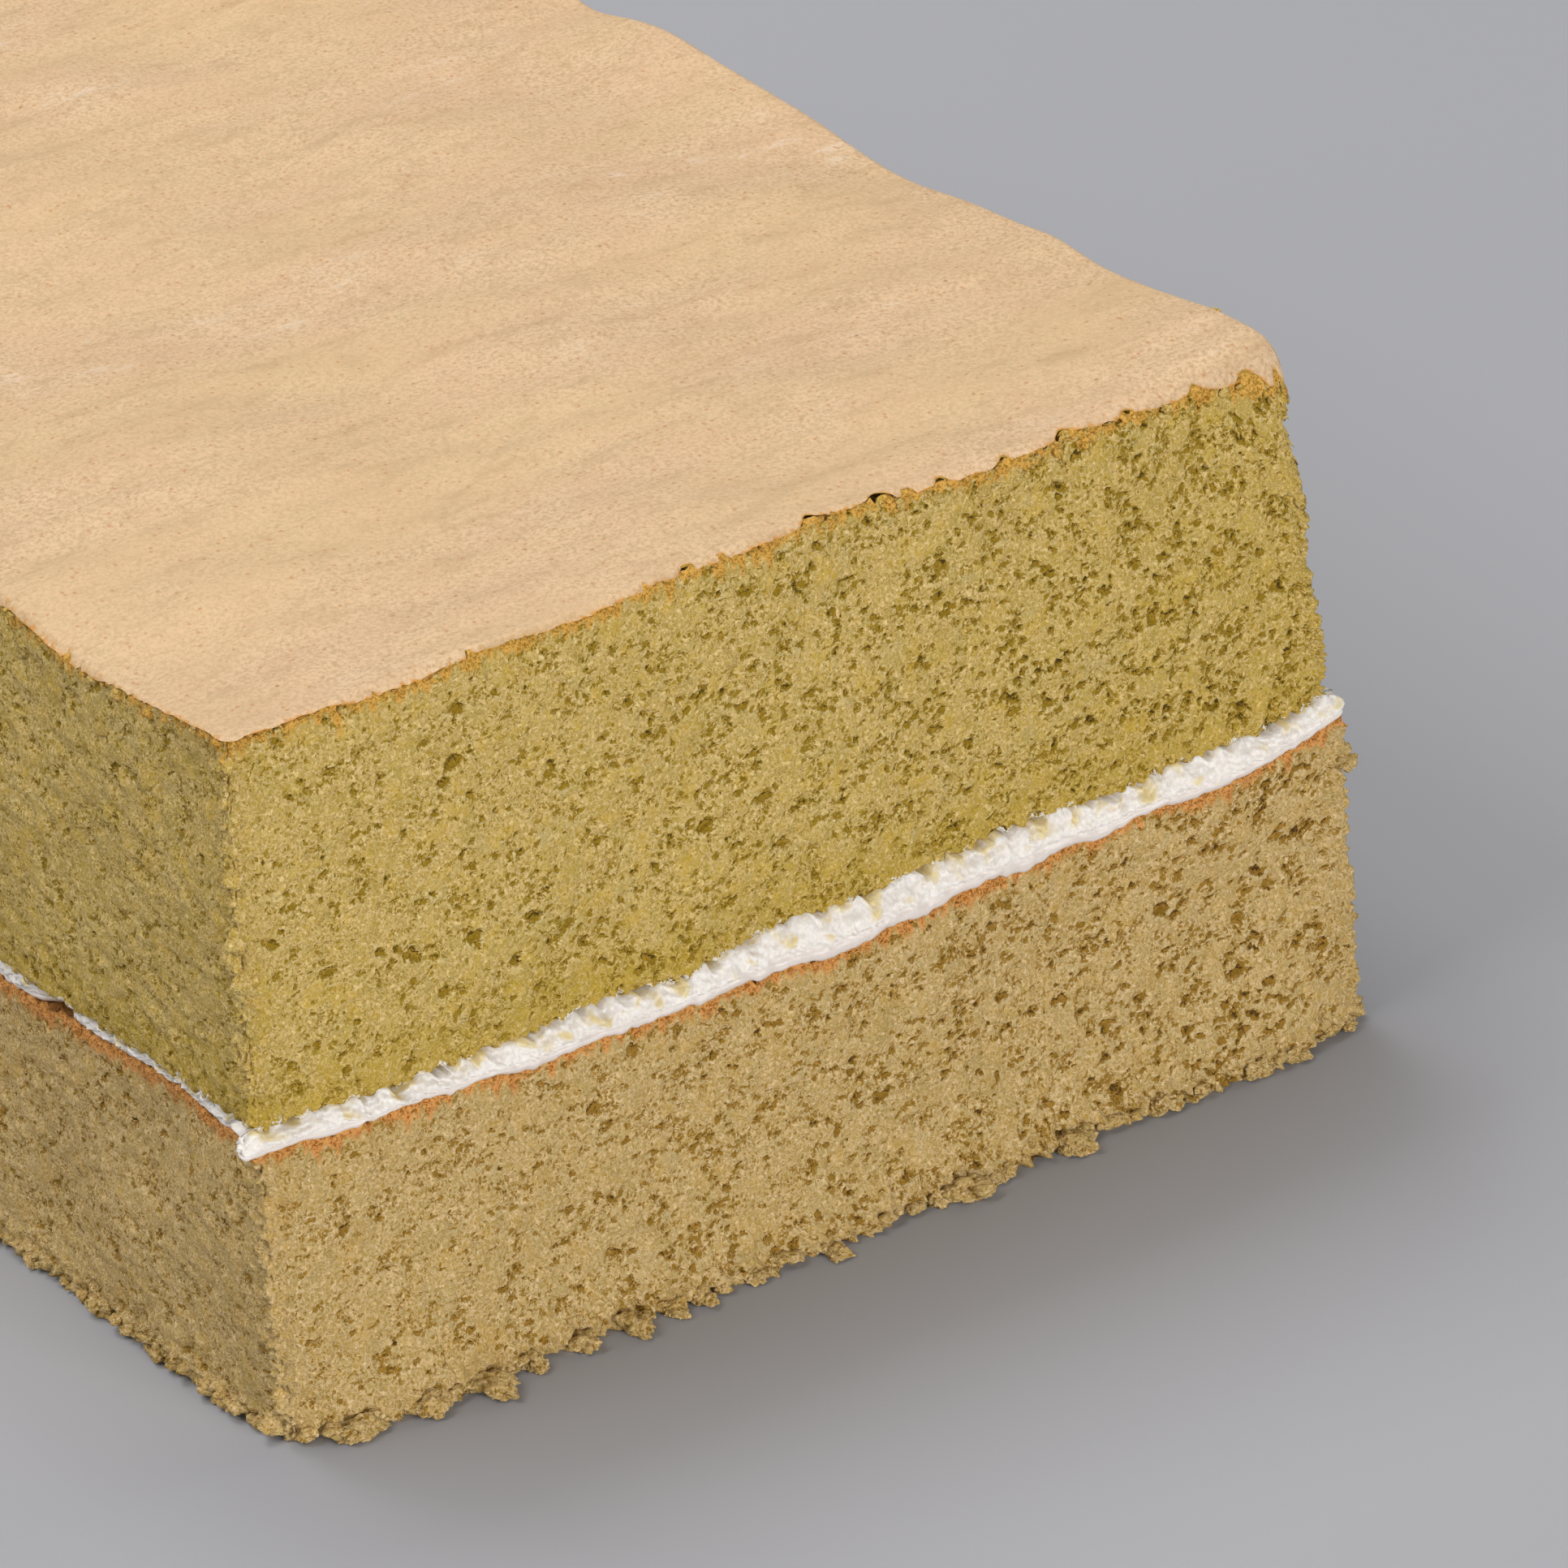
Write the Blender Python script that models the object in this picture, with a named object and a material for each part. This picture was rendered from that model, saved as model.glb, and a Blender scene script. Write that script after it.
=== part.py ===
"""Green tea chiffon cake: a block of two sponge layers with a seam of cream, cut square.

Metres, +Z up. The origin is under the middle of the cake, on the surface that it stands on.
The width runs along X, the length along Y, and the front cut face looks along -Y.
"""

import bmesh
import bpy
import numpy as np

NAME = "green_tea_chiffon_cake"
MM = 0.001

# The block as cut
HALF_WIDTH = 65.4 * MM
HALF_LENGTH = 120.0 * MM
UPRIGHT_EDGE_RADIUS = 1.8 * MM
TOP_AT_CENTRE = 78.2 * MM
DOME_ACROSS = 1.5 * MM
DOME_ALONG = 1.3 * MM
RIM_RADIUS = {"front": 0.4 * MM, "right": 2.6 * MM, "back": 0.7 * MM, "left": 0.6 * MM}
# The top's front right corner, rounded off: its drop, where that begins across, and its reach back
CORNER_DROP = 6.0 * MM
CORNER_DROP_START = 32.4 * MM
CORNER_DROP_REACH = 2.5 * MM
CORNER_DROP_CURVE = 1.5

# The cream seam: heights at the middle, a tilt up to the right, and lifts at both sides
CREAM_BOTTOM = 31.1 * MM
CREAM_BOTTOM_TILT = 1.3 * MM
CREAM_BOTTOM_LIFT = 2.8 * MM
CREAM_TOP = 34.6 * MM
CREAM_TOP_TILT = 1.8 * MM
CREAM_TOP_LIFT = 1.8 * MM
CREAM_STANDS_OUT = {"front": 1.1 * MM, "right": 1.6 * MM, "back": 0.6 * MM, "left": -0.6 * MM}
JOINT_GAP = 0.3 * MM
# Places where the cream is missing from the left side, as y, half width and depth
CREAM_HOLLOWS = (
    (-116.5 * MM, 2.2 * MM, 2.2 * MM),
    (-82.0 * MM, 2.6 * MM, 3.0 * MM),
    (31.0 * MM, 4.0 * MM, 2.4 * MM),
)

# How far the cut sides lean in at the top, how far the lower layer stands out, and its spread foot
LEAN_AT_TOP = {"front": 1.2 * MM, "right": 2.0 * MM, "back": 1.8 * MM, "left": 1.5 * MM}
LEAN_CURVE = 1.2
LOWER_STANDS_OUT = {"front": 0.3 * MM, "right": 3.1 * MM, "back": 0.8 * MM, "left": -0.3 * MM}
SPREAD_AT_BASE = {"front": 4.5 * MM, "right": 0.8 * MM, "back": 3.6 * MM, "left": 1.8 * MM}
SPREAD_HEIGHT = 9.0 * MM
SPREAD_LOST_AT_CORNER = 0.75
CORNER_SHARPNESS = 10
SIDE_SHARPNESS = 12
BASE_TUCK = 0.9 * MM
BASE_TUCK_HEIGHT = 1.8 * MM

# Swellings of the top's right rim, as y, half length and height
RIM_BUMPS = (
    (-113.7 * MM, 16.0 * MM, 1.9 * MM),
    (-80.0 * MM, 6.0 * MM, 1.0 * MM),
    (-56.0 * MM, 12.0 * MM, -1.6 * MM),
    (-6.0 * MM, 13.0 * MM, 2.2 * MM),
    (15.0 * MM, 6.0 * MM, 2.0 * MM),
    (52.0 * MM, 10.0 * MM, 1.2 * MM),
    (88.0 * MM, 12.0 * MM, -1.0 * MM),
)
RIM_BUMP_REACH = 16.0 * MM
FRONT_CALM_REACH = 26.0 * MM
FRONT_CALM = 0.3

# Unevenness: each is a sum of waves, as seed, longest and shortest wave, and height
TOP_SWELL = (11, 62.0 * MM, 17.0 * MM, 0.85 * MM)
SIDE_SWELL = (23, 48.0 * MM, 11.0 * MM, 0.75 * MM)
CREAM_SWELL = (31, 40.0 * MM, 13.0 * MM, 0.35 * MM)
WAVES = 14
WAVE_FALL_OFF = 0.7
CREST_OVER_MEAN = 1.6

# Crumbs torn loose along the foot of the sides, still joined to the sponge
FRONT_CRUMBS_X = [x * MM for x in (-59, -44, -33, -26, -15, -4, 4, 15, 28, 38, 51, 60)]
LEFT_CRUMBS_Y = [y * MM for y in (-110, -98, -86, -73, -57, -40)]
CRUMB_SPACING = 24.0 * MM
CRUMB_RADIUS = (1.2 * MM, 2.6 * MM)
CRUMB_STRETCH = (0.0, 0.8)
CRUMB_KNOBS = (0.72, 1.15)
CRUMB_FLATNESS = 0.75
CRUMB_LIFT = 0.25 * MM
CRUMB_STRAY = (-2.5 * MM, 2.5 * MM)
CRUMB_SUNK = 0.15
CRUMB_HEIGHT = 0.8
CRUMBS_CLEAR_OF_CORNER = 5.0 * MM
CRUMB_SEED = 5

# Cells across, along and up, for each layer, with the first lines in from each side
CELLS_PLAN = (20, 32)
CELLS_UP = {"upper": 7, "cream": 2, "lower": 6}
FIRST_LINES = (0.9 * MM, 3.0 * MM)


def wave_field(points, seed, longest, shortest, height):
    """Smooth unevenness at points (N, 3): a seeded sum of plane waves, about height high."""
    rng = np.random.default_rng(seed)
    lengths = np.geomspace(longest, shortest, WAVES)
    shares = (lengths / longest) ** WAVE_FALL_OFF
    total = np.zeros(len(points))
    for length, share in zip(lengths, shares):
        direction = rng.normal(size=3)
        direction /= np.linalg.norm(direction)
        phase = rng.uniform(0, 2 * np.pi)
        total += share * np.sin(2 * np.pi * points @ direction / length + phase)
    return height * total / (CREST_OVER_MEAN * np.sqrt(np.sum(shares**2) / 2))


def smooth_step(t):
    """0 to 1 with flat ends, for t from 0 to 1."""
    t = np.clip(t, 0.0, 1.0)
    return t * t * (3 - 2 * t)


def rim_drop(x, y):
    """How far the top has fallen towards each side, a quarter round of that side's radius."""
    gaps = {
        "front": HALF_LENGTH + y,
        "back": HALF_LENGTH - y,
        "left": HALF_WIDTH + x,
        "right": HALF_WIDTH - x,
    }
    drop = np.zeros(len(x))
    for side, gap in gaps.items():
        radius = RIM_RADIUS[side]
        into = np.clip((radius + LEAN_AT_TOP[side] - gap) / radius, 0.0, 1.0)
        drop = np.maximum(drop, radius * (1 - np.sqrt(1 - into**2)))
    return drop


def corner_drop(x, y):
    """How far the top has fallen towards its rounded front right corner."""
    across = np.clip((x - CORNER_DROP_START) / (HALF_WIDTH - CORNER_DROP_START), 0.0, None)
    return CORNER_DROP * across**CORNER_DROP_CURVE * np.exp(-(((y + HALF_LENGTH) / CORNER_DROP_REACH) ** 2))


def top_height(x, y):
    """The baked top: a low dome, swollen here and there, rounded down at the rim."""
    dome = TOP_AT_CENTRE - DOME_ACROSS * (x / HALF_WIDTH) ** 2 - DOME_ALONG * (y / HALF_LENGTH) ** 2
    flat = np.column_stack((x, y, np.zeros(len(x))))
    calm = FRONT_CALM + (1 - FRONT_CALM) * smooth_step((y + HALF_LENGTH) / FRONT_CALM_REACH)
    near_rim = np.exp(-(((HALF_WIDTH - x) / RIM_BUMP_REACH) ** 2))
    bumps = sum(rise * np.exp(-(((y - place) / half) ** 2)) for place, half, rise in RIM_BUMPS)
    rim = near_rim * bumps - corner_drop(x, y) - rim_drop(x, y)
    return dome + calm * wave_field(flat, *TOP_SWELL) + rim


def cream_bottom_height(x, y):
    u = x / HALF_WIDTH
    flat = np.column_stack((x, y, np.zeros(len(x))))
    return CREAM_BOTTOM + CREAM_BOTTOM_TILT * u + CREAM_BOTTOM_LIFT * u**2 + wave_field(flat, *CREAM_SWELL)


def cream_top_height(x, y):
    u = x / HALF_WIDTH
    flat = np.column_stack((x, y, np.full(len(x), HALF_WIDTH)))
    return CREAM_TOP + CREAM_TOP_TILT * u + CREAM_TOP_LIFT * u**4 + wave_field(flat, *CREAM_SWELL)


def rounded_plan(u, v):
    """A square of -1 to 1 laid out as the block's plan, its four upright edges rounded."""
    x = u * HALF_WIDTH
    y = v * HALF_LENGTH
    core_x = np.clip(x, UPRIGHT_EDGE_RADIUS - HALF_WIDTH, HALF_WIDTH - UPRIGHT_EDGE_RADIUS)
    core_y = np.clip(y, UPRIGHT_EDGE_RADIUS - HALF_LENGTH, HALF_LENGTH - UPRIGHT_EDGE_RADIUS)
    out_x = x - core_x
    out_y = y - core_y
    reach = np.hypot(out_x, out_y)
    shrink = np.where(reach > 0, np.maximum(abs(out_x), abs(out_y)) / np.maximum(reach, 1e-12), 1.0)
    return core_x + out_x * shrink, core_y + out_y * shrink


def side_weights(u, v):
    """How much a point belongs to each side, 1 on the side and fading inwards."""
    return {
        "front": np.clip(-v, 0, 1) ** SIDE_SHARPNESS,
        "back": np.clip(v, 0, 1) ** SIDE_SHARPNESS,
        "left": np.clip(-u, 0, 1) ** SIDE_SHARPNESS,
        "right": np.clip(u, 0, 1) ** SIDE_SHARPNESS,
    }


def pushed_out(x, y, u, v, amounts):
    """Moves points out of the sides that they belong to by the amounts given for each side."""
    weights = side_weights(u, v)
    x = x + weights["right"] * amounts["right"] - weights["left"] * amounts["left"]
    y = y + weights["back"] * amounts["back"] - weights["front"] * amounts["front"]
    return x, y


def upper_push(x, y, z, swell):
    """How far the upper layer's sides stand out, leaning in towards the top."""
    lean = smooth_step((z - CREAM_TOP) / (TOP_AT_CENTRE - CREAM_TOP)) ** LEAN_CURVE
    return {side: swell - LEAN_AT_TOP[side] * lean for side in LEAN_AT_TOP}


def lower_push(x, y, z, swell):
    """How far the lower layer's sides stand out, its foot spread except at the corners."""
    tuck = BASE_TUCK * np.clip(1 - z / BASE_TUCK_HEIGHT, 0, 1) ** 2
    across = np.minimum(abs(x) / HALF_WIDTH, 1) ** CORNER_SHARPNESS
    along = np.minimum(abs(y) / HALF_LENGTH, 1) ** CORNER_SHARPNESS
    spread = np.exp(-z / SPREAD_HEIGHT) * (1 - SPREAD_LOST_AT_CORNER * across * along)
    return {
        side: LOWER_STANDS_OUT[side] + SPREAD_AT_BASE[side] * spread - tuck + swell
        for side in SPREAD_AT_BASE
    }


def cream_push(x, y, z, swell):
    """How far the cream stands out of each side, with its hollows on the left."""
    amounts = {side: CREAM_STANDS_OUT[side] + swell for side in CREAM_STANDS_OUT}
    for place, half_width, depth in CREAM_HOLLOWS:
        amounts["left"] = amounts["left"] - depth * np.exp(-(((y - place) / half_width) ** 2))
    return amounts


def crowded(t, count, half_size):
    """Even cell lines from -1 to 1 moved so that the first ones in from each end are FIRST_LINES in."""
    ends = [0, *FIRST_LINES]
    even = [1 - 2 * line / count for line in range(len(ends))]
    drawn = [1 - gap / half_size for gap in ends]
    return np.interp(t, [-e for e in even] + even[::-1], [-d for d in drawn] + drawn[::-1])


def gridded_cube(cells):
    """A 2 m cube primitive divided into cells across, along and up."""
    bm = bmesh.new()
    bmesh.ops.create_cube(bm, size=2.0)
    for axis, count in enumerate(cells):
        edges = [e for e in bm.edges if abs(e.verts[0].co[axis] - e.verts[1].co[axis]) > 1e-6]
        bmesh.ops.subdivide_edges(bm, edges=edges, cuts=count - 1, use_grid_fill=True)
    return bm


def layer(name, cells_up, floor_height, roof_height, push, collection, material):
    """One layer of the cake, a divided cube drawn to its floor, roof and sides."""
    bm = gridded_cube((*CELLS_PLAN, cells_up))
    cube = np.array([v.co[:] for v in bm.verts])
    u = crowded(cube[:, 0], CELLS_PLAN[0], HALF_WIDTH)
    v = crowded(cube[:, 1], CELLS_PLAN[1], HALF_LENGTH)
    t = (cube[:, 2] + 1) / 2
    x, y = rounded_plan(u, v)
    low = floor_height(x, y)
    z = low + t * (roof_height(x, y) - low)
    swell = wave_field(np.column_stack((x, y, z)), *SIDE_SWELL)
    x, y = pushed_out(x, y, u, v, push(x, y, z, swell))
    low = floor_height(x, y)
    z = low + t * (roof_height(x, y) - low)
    for vert, place in zip(bm.verts, np.column_stack((x, y, z))):
        vert.co = place
    return finished(name, bm, collection, material)


def finished(name, bm, collection, material):
    """The object made from bm, with outward faces and its material."""
    bmesh.ops.recalc_face_normals(bm, faces=bm.faces)
    mesh = bpy.data.meshes.new(name)
    bm.to_mesh(mesh)
    bm.free()
    mesh.materials.append(material)
    made = bpy.data.objects.new(name, mesh)
    collection.objects.link(made)
    return made


def crumb(name, place, facing, radius, rng, collection, material):
    """A small knobbly lump: an icosphere stretched along the side, its points moved in and out."""
    bm = bmesh.new()
    bmesh.ops.create_icosphere(bm, subdivisions=2, radius=radius)
    stretch = rng.uniform(*CRUMB_STRETCH)
    for vert in bm.verts:
        vert.co *= rng.uniform(*CRUMB_KNOBS)
        vert.co.x *= 1 + stretch * abs(facing[1])
        vert.co.y *= 1 + stretch * abs(facing[0])
        vert.co.z *= CRUMB_FLATNESS
    lowest = min(vert.co.z for vert in bm.verts)
    for vert in bm.verts:
        vert.co.x += place[0]
        vert.co.y += place[1]
        vert.co.z += CRUMB_LIFT - lowest
    return finished(name, bm, collection, material)


def crumb_places():
    """Side and place along it of each crumb: as seen at the front and left, evenly strewn elsewhere."""
    places = [("front", x) for x in FRONT_CRUMBS_X]
    places += [("left", y) for y in LEFT_CRUMBS_Y]
    end_y = HALF_LENGTH - CRUMBS_CLEAR_OF_CORNER
    end_x = HALF_WIDTH - CRUMBS_CLEAR_OF_CORNER
    start_y = max(LEFT_CRUMBS_Y) + CRUMB_SPACING
    places += [("left", y) for y in np.arange(start_y, end_y, CRUMB_SPACING)]
    places += [("right", y) for y in np.arange(-end_y, end_y, CRUMB_SPACING)]
    places += [("back", x) for x in np.arange(-end_x, end_x, CRUMB_SPACING)]
    return places


def foot_point(side, along, height):
    """The point of a sponge side at this height, and the way that side faces."""
    facing = {"front": (0, -1), "back": (0, 1), "left": (-1, 0), "right": (1, 0)}[side]
    reach = HALF_LENGTH if side in ("front", "back") else HALF_WIDTH
    flat = np.array([along, facing[1] * reach] if facing[1] else [facing[0] * reach, along])
    swell = wave_field(np.array([[*flat, height]]), *SIDE_SWELL)
    out = lower_push(flat[:1], flat[1:], np.array([height]), swell)[side][0]
    return flat + out * np.array(facing), np.array(facing)


def join_crumbs(sponge, collection, material):
    """Fuses the crumbs to the sponge's foot and removes the loose ones."""
    rng = np.random.default_rng(CRUMB_SEED)
    for index, (side, along) in enumerate(crumb_places()):
        radius = rng.uniform(*CRUMB_RADIUS)
        foot, facing = foot_point(side, along + rng.uniform(*CRUMB_STRAY), CRUMB_HEIGHT * radius)
        place = foot - CRUMB_SUNK * radius * facing
        crumb(f"crumb_{index:02d}", place, facing, radius, rng, collection, material)
    joined = sponge.modifiers.new("crumbs", "BOOLEAN")
    joined.operation = "UNION"
    joined.operand_type = "COLLECTION"
    joined.collection = collection
    joined.solver = "EXACT"
    bpy.context.view_layer.update()
    graph = bpy.context.evaluated_depsgraph_get()
    fused = bpy.data.meshes.new_from_object(sponge.evaluated_get(graph))
    sponge.modifiers.clear()
    sponge.data = fused
    for loose in list(collection.objects):
        bpy.data.objects.remove(loose)
    bpy.data.collections.remove(collection)


def food_material(name, colour, roughness):
    """A plain Principled finish for one kind of food."""
    material = bpy.data.materials.new(name)
    material.use_nodes = True
    shader = material.node_tree.nodes["Principled BSDF"]
    shader.inputs["Base Color"].default_value = (*colour, 1.0)
    shader.inputs["Roughness"].default_value = roughness
    shader.inputs["Metallic"].default_value = 0.0
    material.diffuse_color = (*colour, 1.0)
    return material


def clear_scene():
    for item in list(bpy.data.objects):
        bpy.data.objects.remove(item, do_unlink=True)


def new_collection(name):
    made = bpy.data.collections.new(name)
    bpy.context.scene.collection.children.link(made)
    return made


def main():
    clear_scene()
    cake = new_collection(NAME)
    loose = new_collection("loose_crumbs")
    upper_material = food_material("upper_sponge", (0.42, 0.36, 0.10), 0.9)
    cream_material = food_material("cream", (0.84, 0.78, 0.69), 0.5)
    lower_material = food_material("lower_sponge", (0.47, 0.38, 0.14), 0.9)

    lower = layer(
        "lower_sponge",
        CELLS_UP["lower"],
        lambda x, y: np.zeros(len(x)),
        lambda x, y: cream_bottom_height(x, y) - JOINT_GAP,
        lower_push,
        cake,
        lower_material,
    )
    join_crumbs(lower, loose, lower_material)
    layer(
        "cream_filling",
        CELLS_UP["cream"],
        cream_bottom_height,
        cream_top_height,
        cream_push,
        cake,
        cream_material,
    )
    layer(
        "upper_sponge",
        CELLS_UP["upper"],
        lambda x, y: cream_top_height(x, y) + JOINT_GAP,
        top_height,
        upper_push,
        cake,
        upper_material,
    )


main()
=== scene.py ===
"""Green tea chiffon cake: crumb, skin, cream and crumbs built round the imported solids.

Every size is in metres, in the frame of the solids: the width along X, the length along Y, the cut
front looking along -Y, and the cake standing on z = 0.
"""

from __future__ import annotations

import logging
import math
from dataclasses import dataclass, replace
from enum import Enum
from typing import ClassVar

import bmesh
import bpy
import numpy as np
from mathutils import Matrix, Vector


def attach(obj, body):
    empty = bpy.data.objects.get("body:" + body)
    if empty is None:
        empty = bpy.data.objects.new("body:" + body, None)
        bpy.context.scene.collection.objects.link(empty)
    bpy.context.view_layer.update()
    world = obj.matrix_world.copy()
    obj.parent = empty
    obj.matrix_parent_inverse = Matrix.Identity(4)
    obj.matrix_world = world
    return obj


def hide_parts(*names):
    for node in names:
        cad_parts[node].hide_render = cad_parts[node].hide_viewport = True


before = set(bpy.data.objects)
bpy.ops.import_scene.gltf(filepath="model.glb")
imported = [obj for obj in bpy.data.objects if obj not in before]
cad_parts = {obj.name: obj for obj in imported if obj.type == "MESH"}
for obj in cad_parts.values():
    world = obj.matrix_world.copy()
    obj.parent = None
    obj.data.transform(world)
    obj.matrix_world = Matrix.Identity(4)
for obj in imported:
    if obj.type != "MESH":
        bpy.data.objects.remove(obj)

Array = np.ndarray
Socket = bpy.types.NodeSocket
Colour = tuple[float, float, float]
Point = tuple[float, float, float]
Pair = tuple[float, float]
Rows = tuple[tuple[float, ...], ...]
LOG = logging.getLogger("chiffon_cake")
MM = 0.001
BODY = "root"
BAKE_MAP = "OFBake"


def in_mm(*rows: tuple[float, ...]) -> Rows:
    """Rows of sizes given in millimetres, turned into metres."""
    return tuple(tuple(size * MM for size in row) for row in rows)


class Side(Enum):
    """The four upright sides of the block, in the order that a walk round it meets them."""

    FRONT = 0
    RIGHT = 1
    BACK = 2
    LEFT = 3


class Layer(Enum):
    """The two sponge layers and the seam between them, each with its solid's name."""

    LOWER = "lower_sponge"
    CREAM = "cream_filling"
    UPPER = "upper_sponge"


def smooth_step(value: Array | float, low: float = 0.0, high: float = 1.0) -> Array:
    """Eases from 0 to 1 between two values.

    Args:
        value: where to read the curve.
        low: the value that gives 0.
        high: the value that gives 1.

    Returns:
        The eased share, the same shape as value.
    """
    t = np.clip((value - low) / (high - low), 0.0, 1.0)
    return t * t * (3 - 2 * t)


def bells(where: Array, rows: Rows) -> Array:
    """Swellings side by side along a line.

    Args:
        where: places along the line.
        rows: for each swelling its place, half length and size.

    Returns:
        The sum of the swellings at each place.
    """
    return sum(size * np.exp(-(((where - place) / half) ** 2)) for place, half, size in rows)


@dataclass(frozen=True)
class SideSizes:
    """One size for each upright side."""

    front: float
    right: float
    back: float
    left: float

    def at(self, side: Side) -> float:
        """The size of one side."""
        return (self.front, self.right, self.back, self.left)[side.value]


@dataclass(frozen=True)
class Waves:
    """Smooth unevenness, the same seeded sum of plane waves as in the solids."""

    seed: int
    longest: float
    shortest: float
    height: float
    count: ClassVar[int] = 14
    fall_off: ClassVar[float] = 0.7
    crest_over_mean: ClassVar[float] = 1.6

    def at(self, points: Array) -> Array:
        """The height of the waves.

        Args:
            points: places, with x, y and z along the last axis.

        Returns:
            One height for each place.
        """
        rng = np.random.default_rng(self.seed)
        lengths = np.geomspace(self.longest, self.shortest, self.count)
        shares = (lengths / self.longest) ** self.fall_off
        total = np.zeros(points.shape[:-1])
        for length, share in zip(lengths, shares):
            direction = rng.normal(size=3)
            direction /= np.linalg.norm(direction)
            phase = rng.uniform(0, 2 * np.pi)
            total += share * np.sin(2 * np.pi * points @ direction / length + phase)
        return self.height * total / (self.crest_over_mean * np.sqrt(np.sum(shares**2) / 2))


@dataclass(frozen=True)
class CakeForm:
    """The block's sizes and uneven form: the solids' own, with the photograph's finer swellings."""

    half_width: float = 65.4 * MM
    half_length: float = 120.0 * MM
    upright_radius: float = 1.1 * MM
    top_at_centre: float = 78.2 * MM
    dome_across: float = 1.5 * MM
    dome_along: float = 1.3 * MM
    rim_radius: SideSizes = SideSizes(0.4 * MM, 1.5 * MM, 0.7 * MM, 0.6 * MM)
    corner_drop: float = 5.2 * MM
    right_rise: float = 0.9 * MM
    rise_across: Pair = (-0.2, 0.9)
    corner_drop_start: float = 32.4 * MM
    corner_drop_reach: float = 2.5 * MM
    corner_drop_curve: float = 1.5
    cream_bottom: float = 31.1 * MM
    cream_bottom_tilt: float = 1.3 * MM
    cream_bottom_lift: float = 2.8 * MM
    cream_top: float = 34.6 * MM
    cream_top_tilt: float = 1.8 * MM
    cream_top_lift: float = 1.8 * MM
    cream_out: SideSizes = SideSizes(1.1 * MM, 1.6 * MM, 0.6 * MM, -0.6 * MM)
    lean: SideSizes = SideSizes(1.2 * MM, 2.0 * MM, 1.8 * MM, 1.5 * MM)
    lean_power: float = 1.2
    lower_out: SideSizes = SideSizes(0.3 * MM, 2.5 * MM, 0.8 * MM, -0.3 * MM)
    spread: SideSizes = SideSizes(4.5 * MM, 0.8 * MM, 3.6 * MM, 1.8 * MM)
    spread_height: float = 9.0 * MM
    spread_lost: float = 0.75
    corner_power: int = 10
    side_power: int = 12
    tuck: float = 0.9 * MM
    tuck_height: float = 1.8 * MM
    bump_reach: float = 16.0 * MM
    calm_reach: float = 26.0 * MM
    calm: float = 0.3
    top_swell: Waves = Waves(11, 62.0 * MM, 17.0 * MM, 0.85 * MM)
    side_swell: Waves = Waves(23, 48.0 * MM, 11.0 * MM, 0.75 * MM)
    cream_swell: Waves = Waves(31, 40.0 * MM, 13.0 * MM, 0.35 * MM)
    # Swellings of the top's right rim: y, half length, size
    rim_bumps: Rows = in_mm(
        (-113.7, 16.0, 1.9),
        (-80.0, 6.0, 1.0),
        (-56.0, 12.0, -1.6),
        (-6.0, 13.0, 2.2),
        (15.0, 6.0, 2.0),
        (52.0, 10.0, 1.2),
        (88.0, 12.0, -1.0),
    )
    # Swellings of the cream's upper edge along the front: x, half length, size
    cream_swellings: Rows = in_mm(
        (-37.0, 15.0, -0.45), (-3.0, 8.0, 0.9), (16.0, 9.0, 0.55), (48.0, 9.0, 0.7)
    )
    swell_reach: float = 9.0 * MM
    # Hollow of the upper layer's right side: height, half height, depth
    right_hollow: Rows = in_mm((67.0, 4.2, 1.2))
    # Hollows of the cream at the left: y, half length, depth
    hollows: Rows = in_mm((-116.5, 2.2, 2.2), (-82.0, 2.6, 3.0), (31.0, 4.0, 2.4))

    def rounded_plan(self, u: Array, v: Array) -> tuple[Array, Array]:
        """Lays a square of -1 to 1 out as the block's plan, its four upright edges rounded.

        Args:
            u: places across, -1 at the left.
            v: places along, -1 at the front.

        Returns:
            The x and y of each place.
        """
        x, y = u * self.half_width, v * self.half_length
        radius = self.upright_radius
        core_x = np.clip(x, radius - self.half_width, self.half_width - radius)
        core_y = np.clip(y, radius - self.half_length, self.half_length - radius)
        out_x, out_y = x - core_x, y - core_y
        reach = np.hypot(out_x, out_y)
        square = np.maximum(abs(out_x), abs(out_y))
        shrink = np.where(reach > 0, square / np.maximum(reach, 1e-12), 1.0)
        return core_x + out_x * shrink, core_y + out_y * shrink

    def gaps(self, x: Array, y: Array) -> dict[Side, Array]:
        """How far each place is in from each side of the plan.

        Args:
            x: places across.
            y: places along.

        Returns:
            For each side, the distance of each place.
        """
        return {
            Side.FRONT: self.half_length + y,
            Side.BACK: self.half_length - y,
            Side.LEFT: self.half_width + x,
            Side.RIGHT: self.half_width - x,
        }

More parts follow.
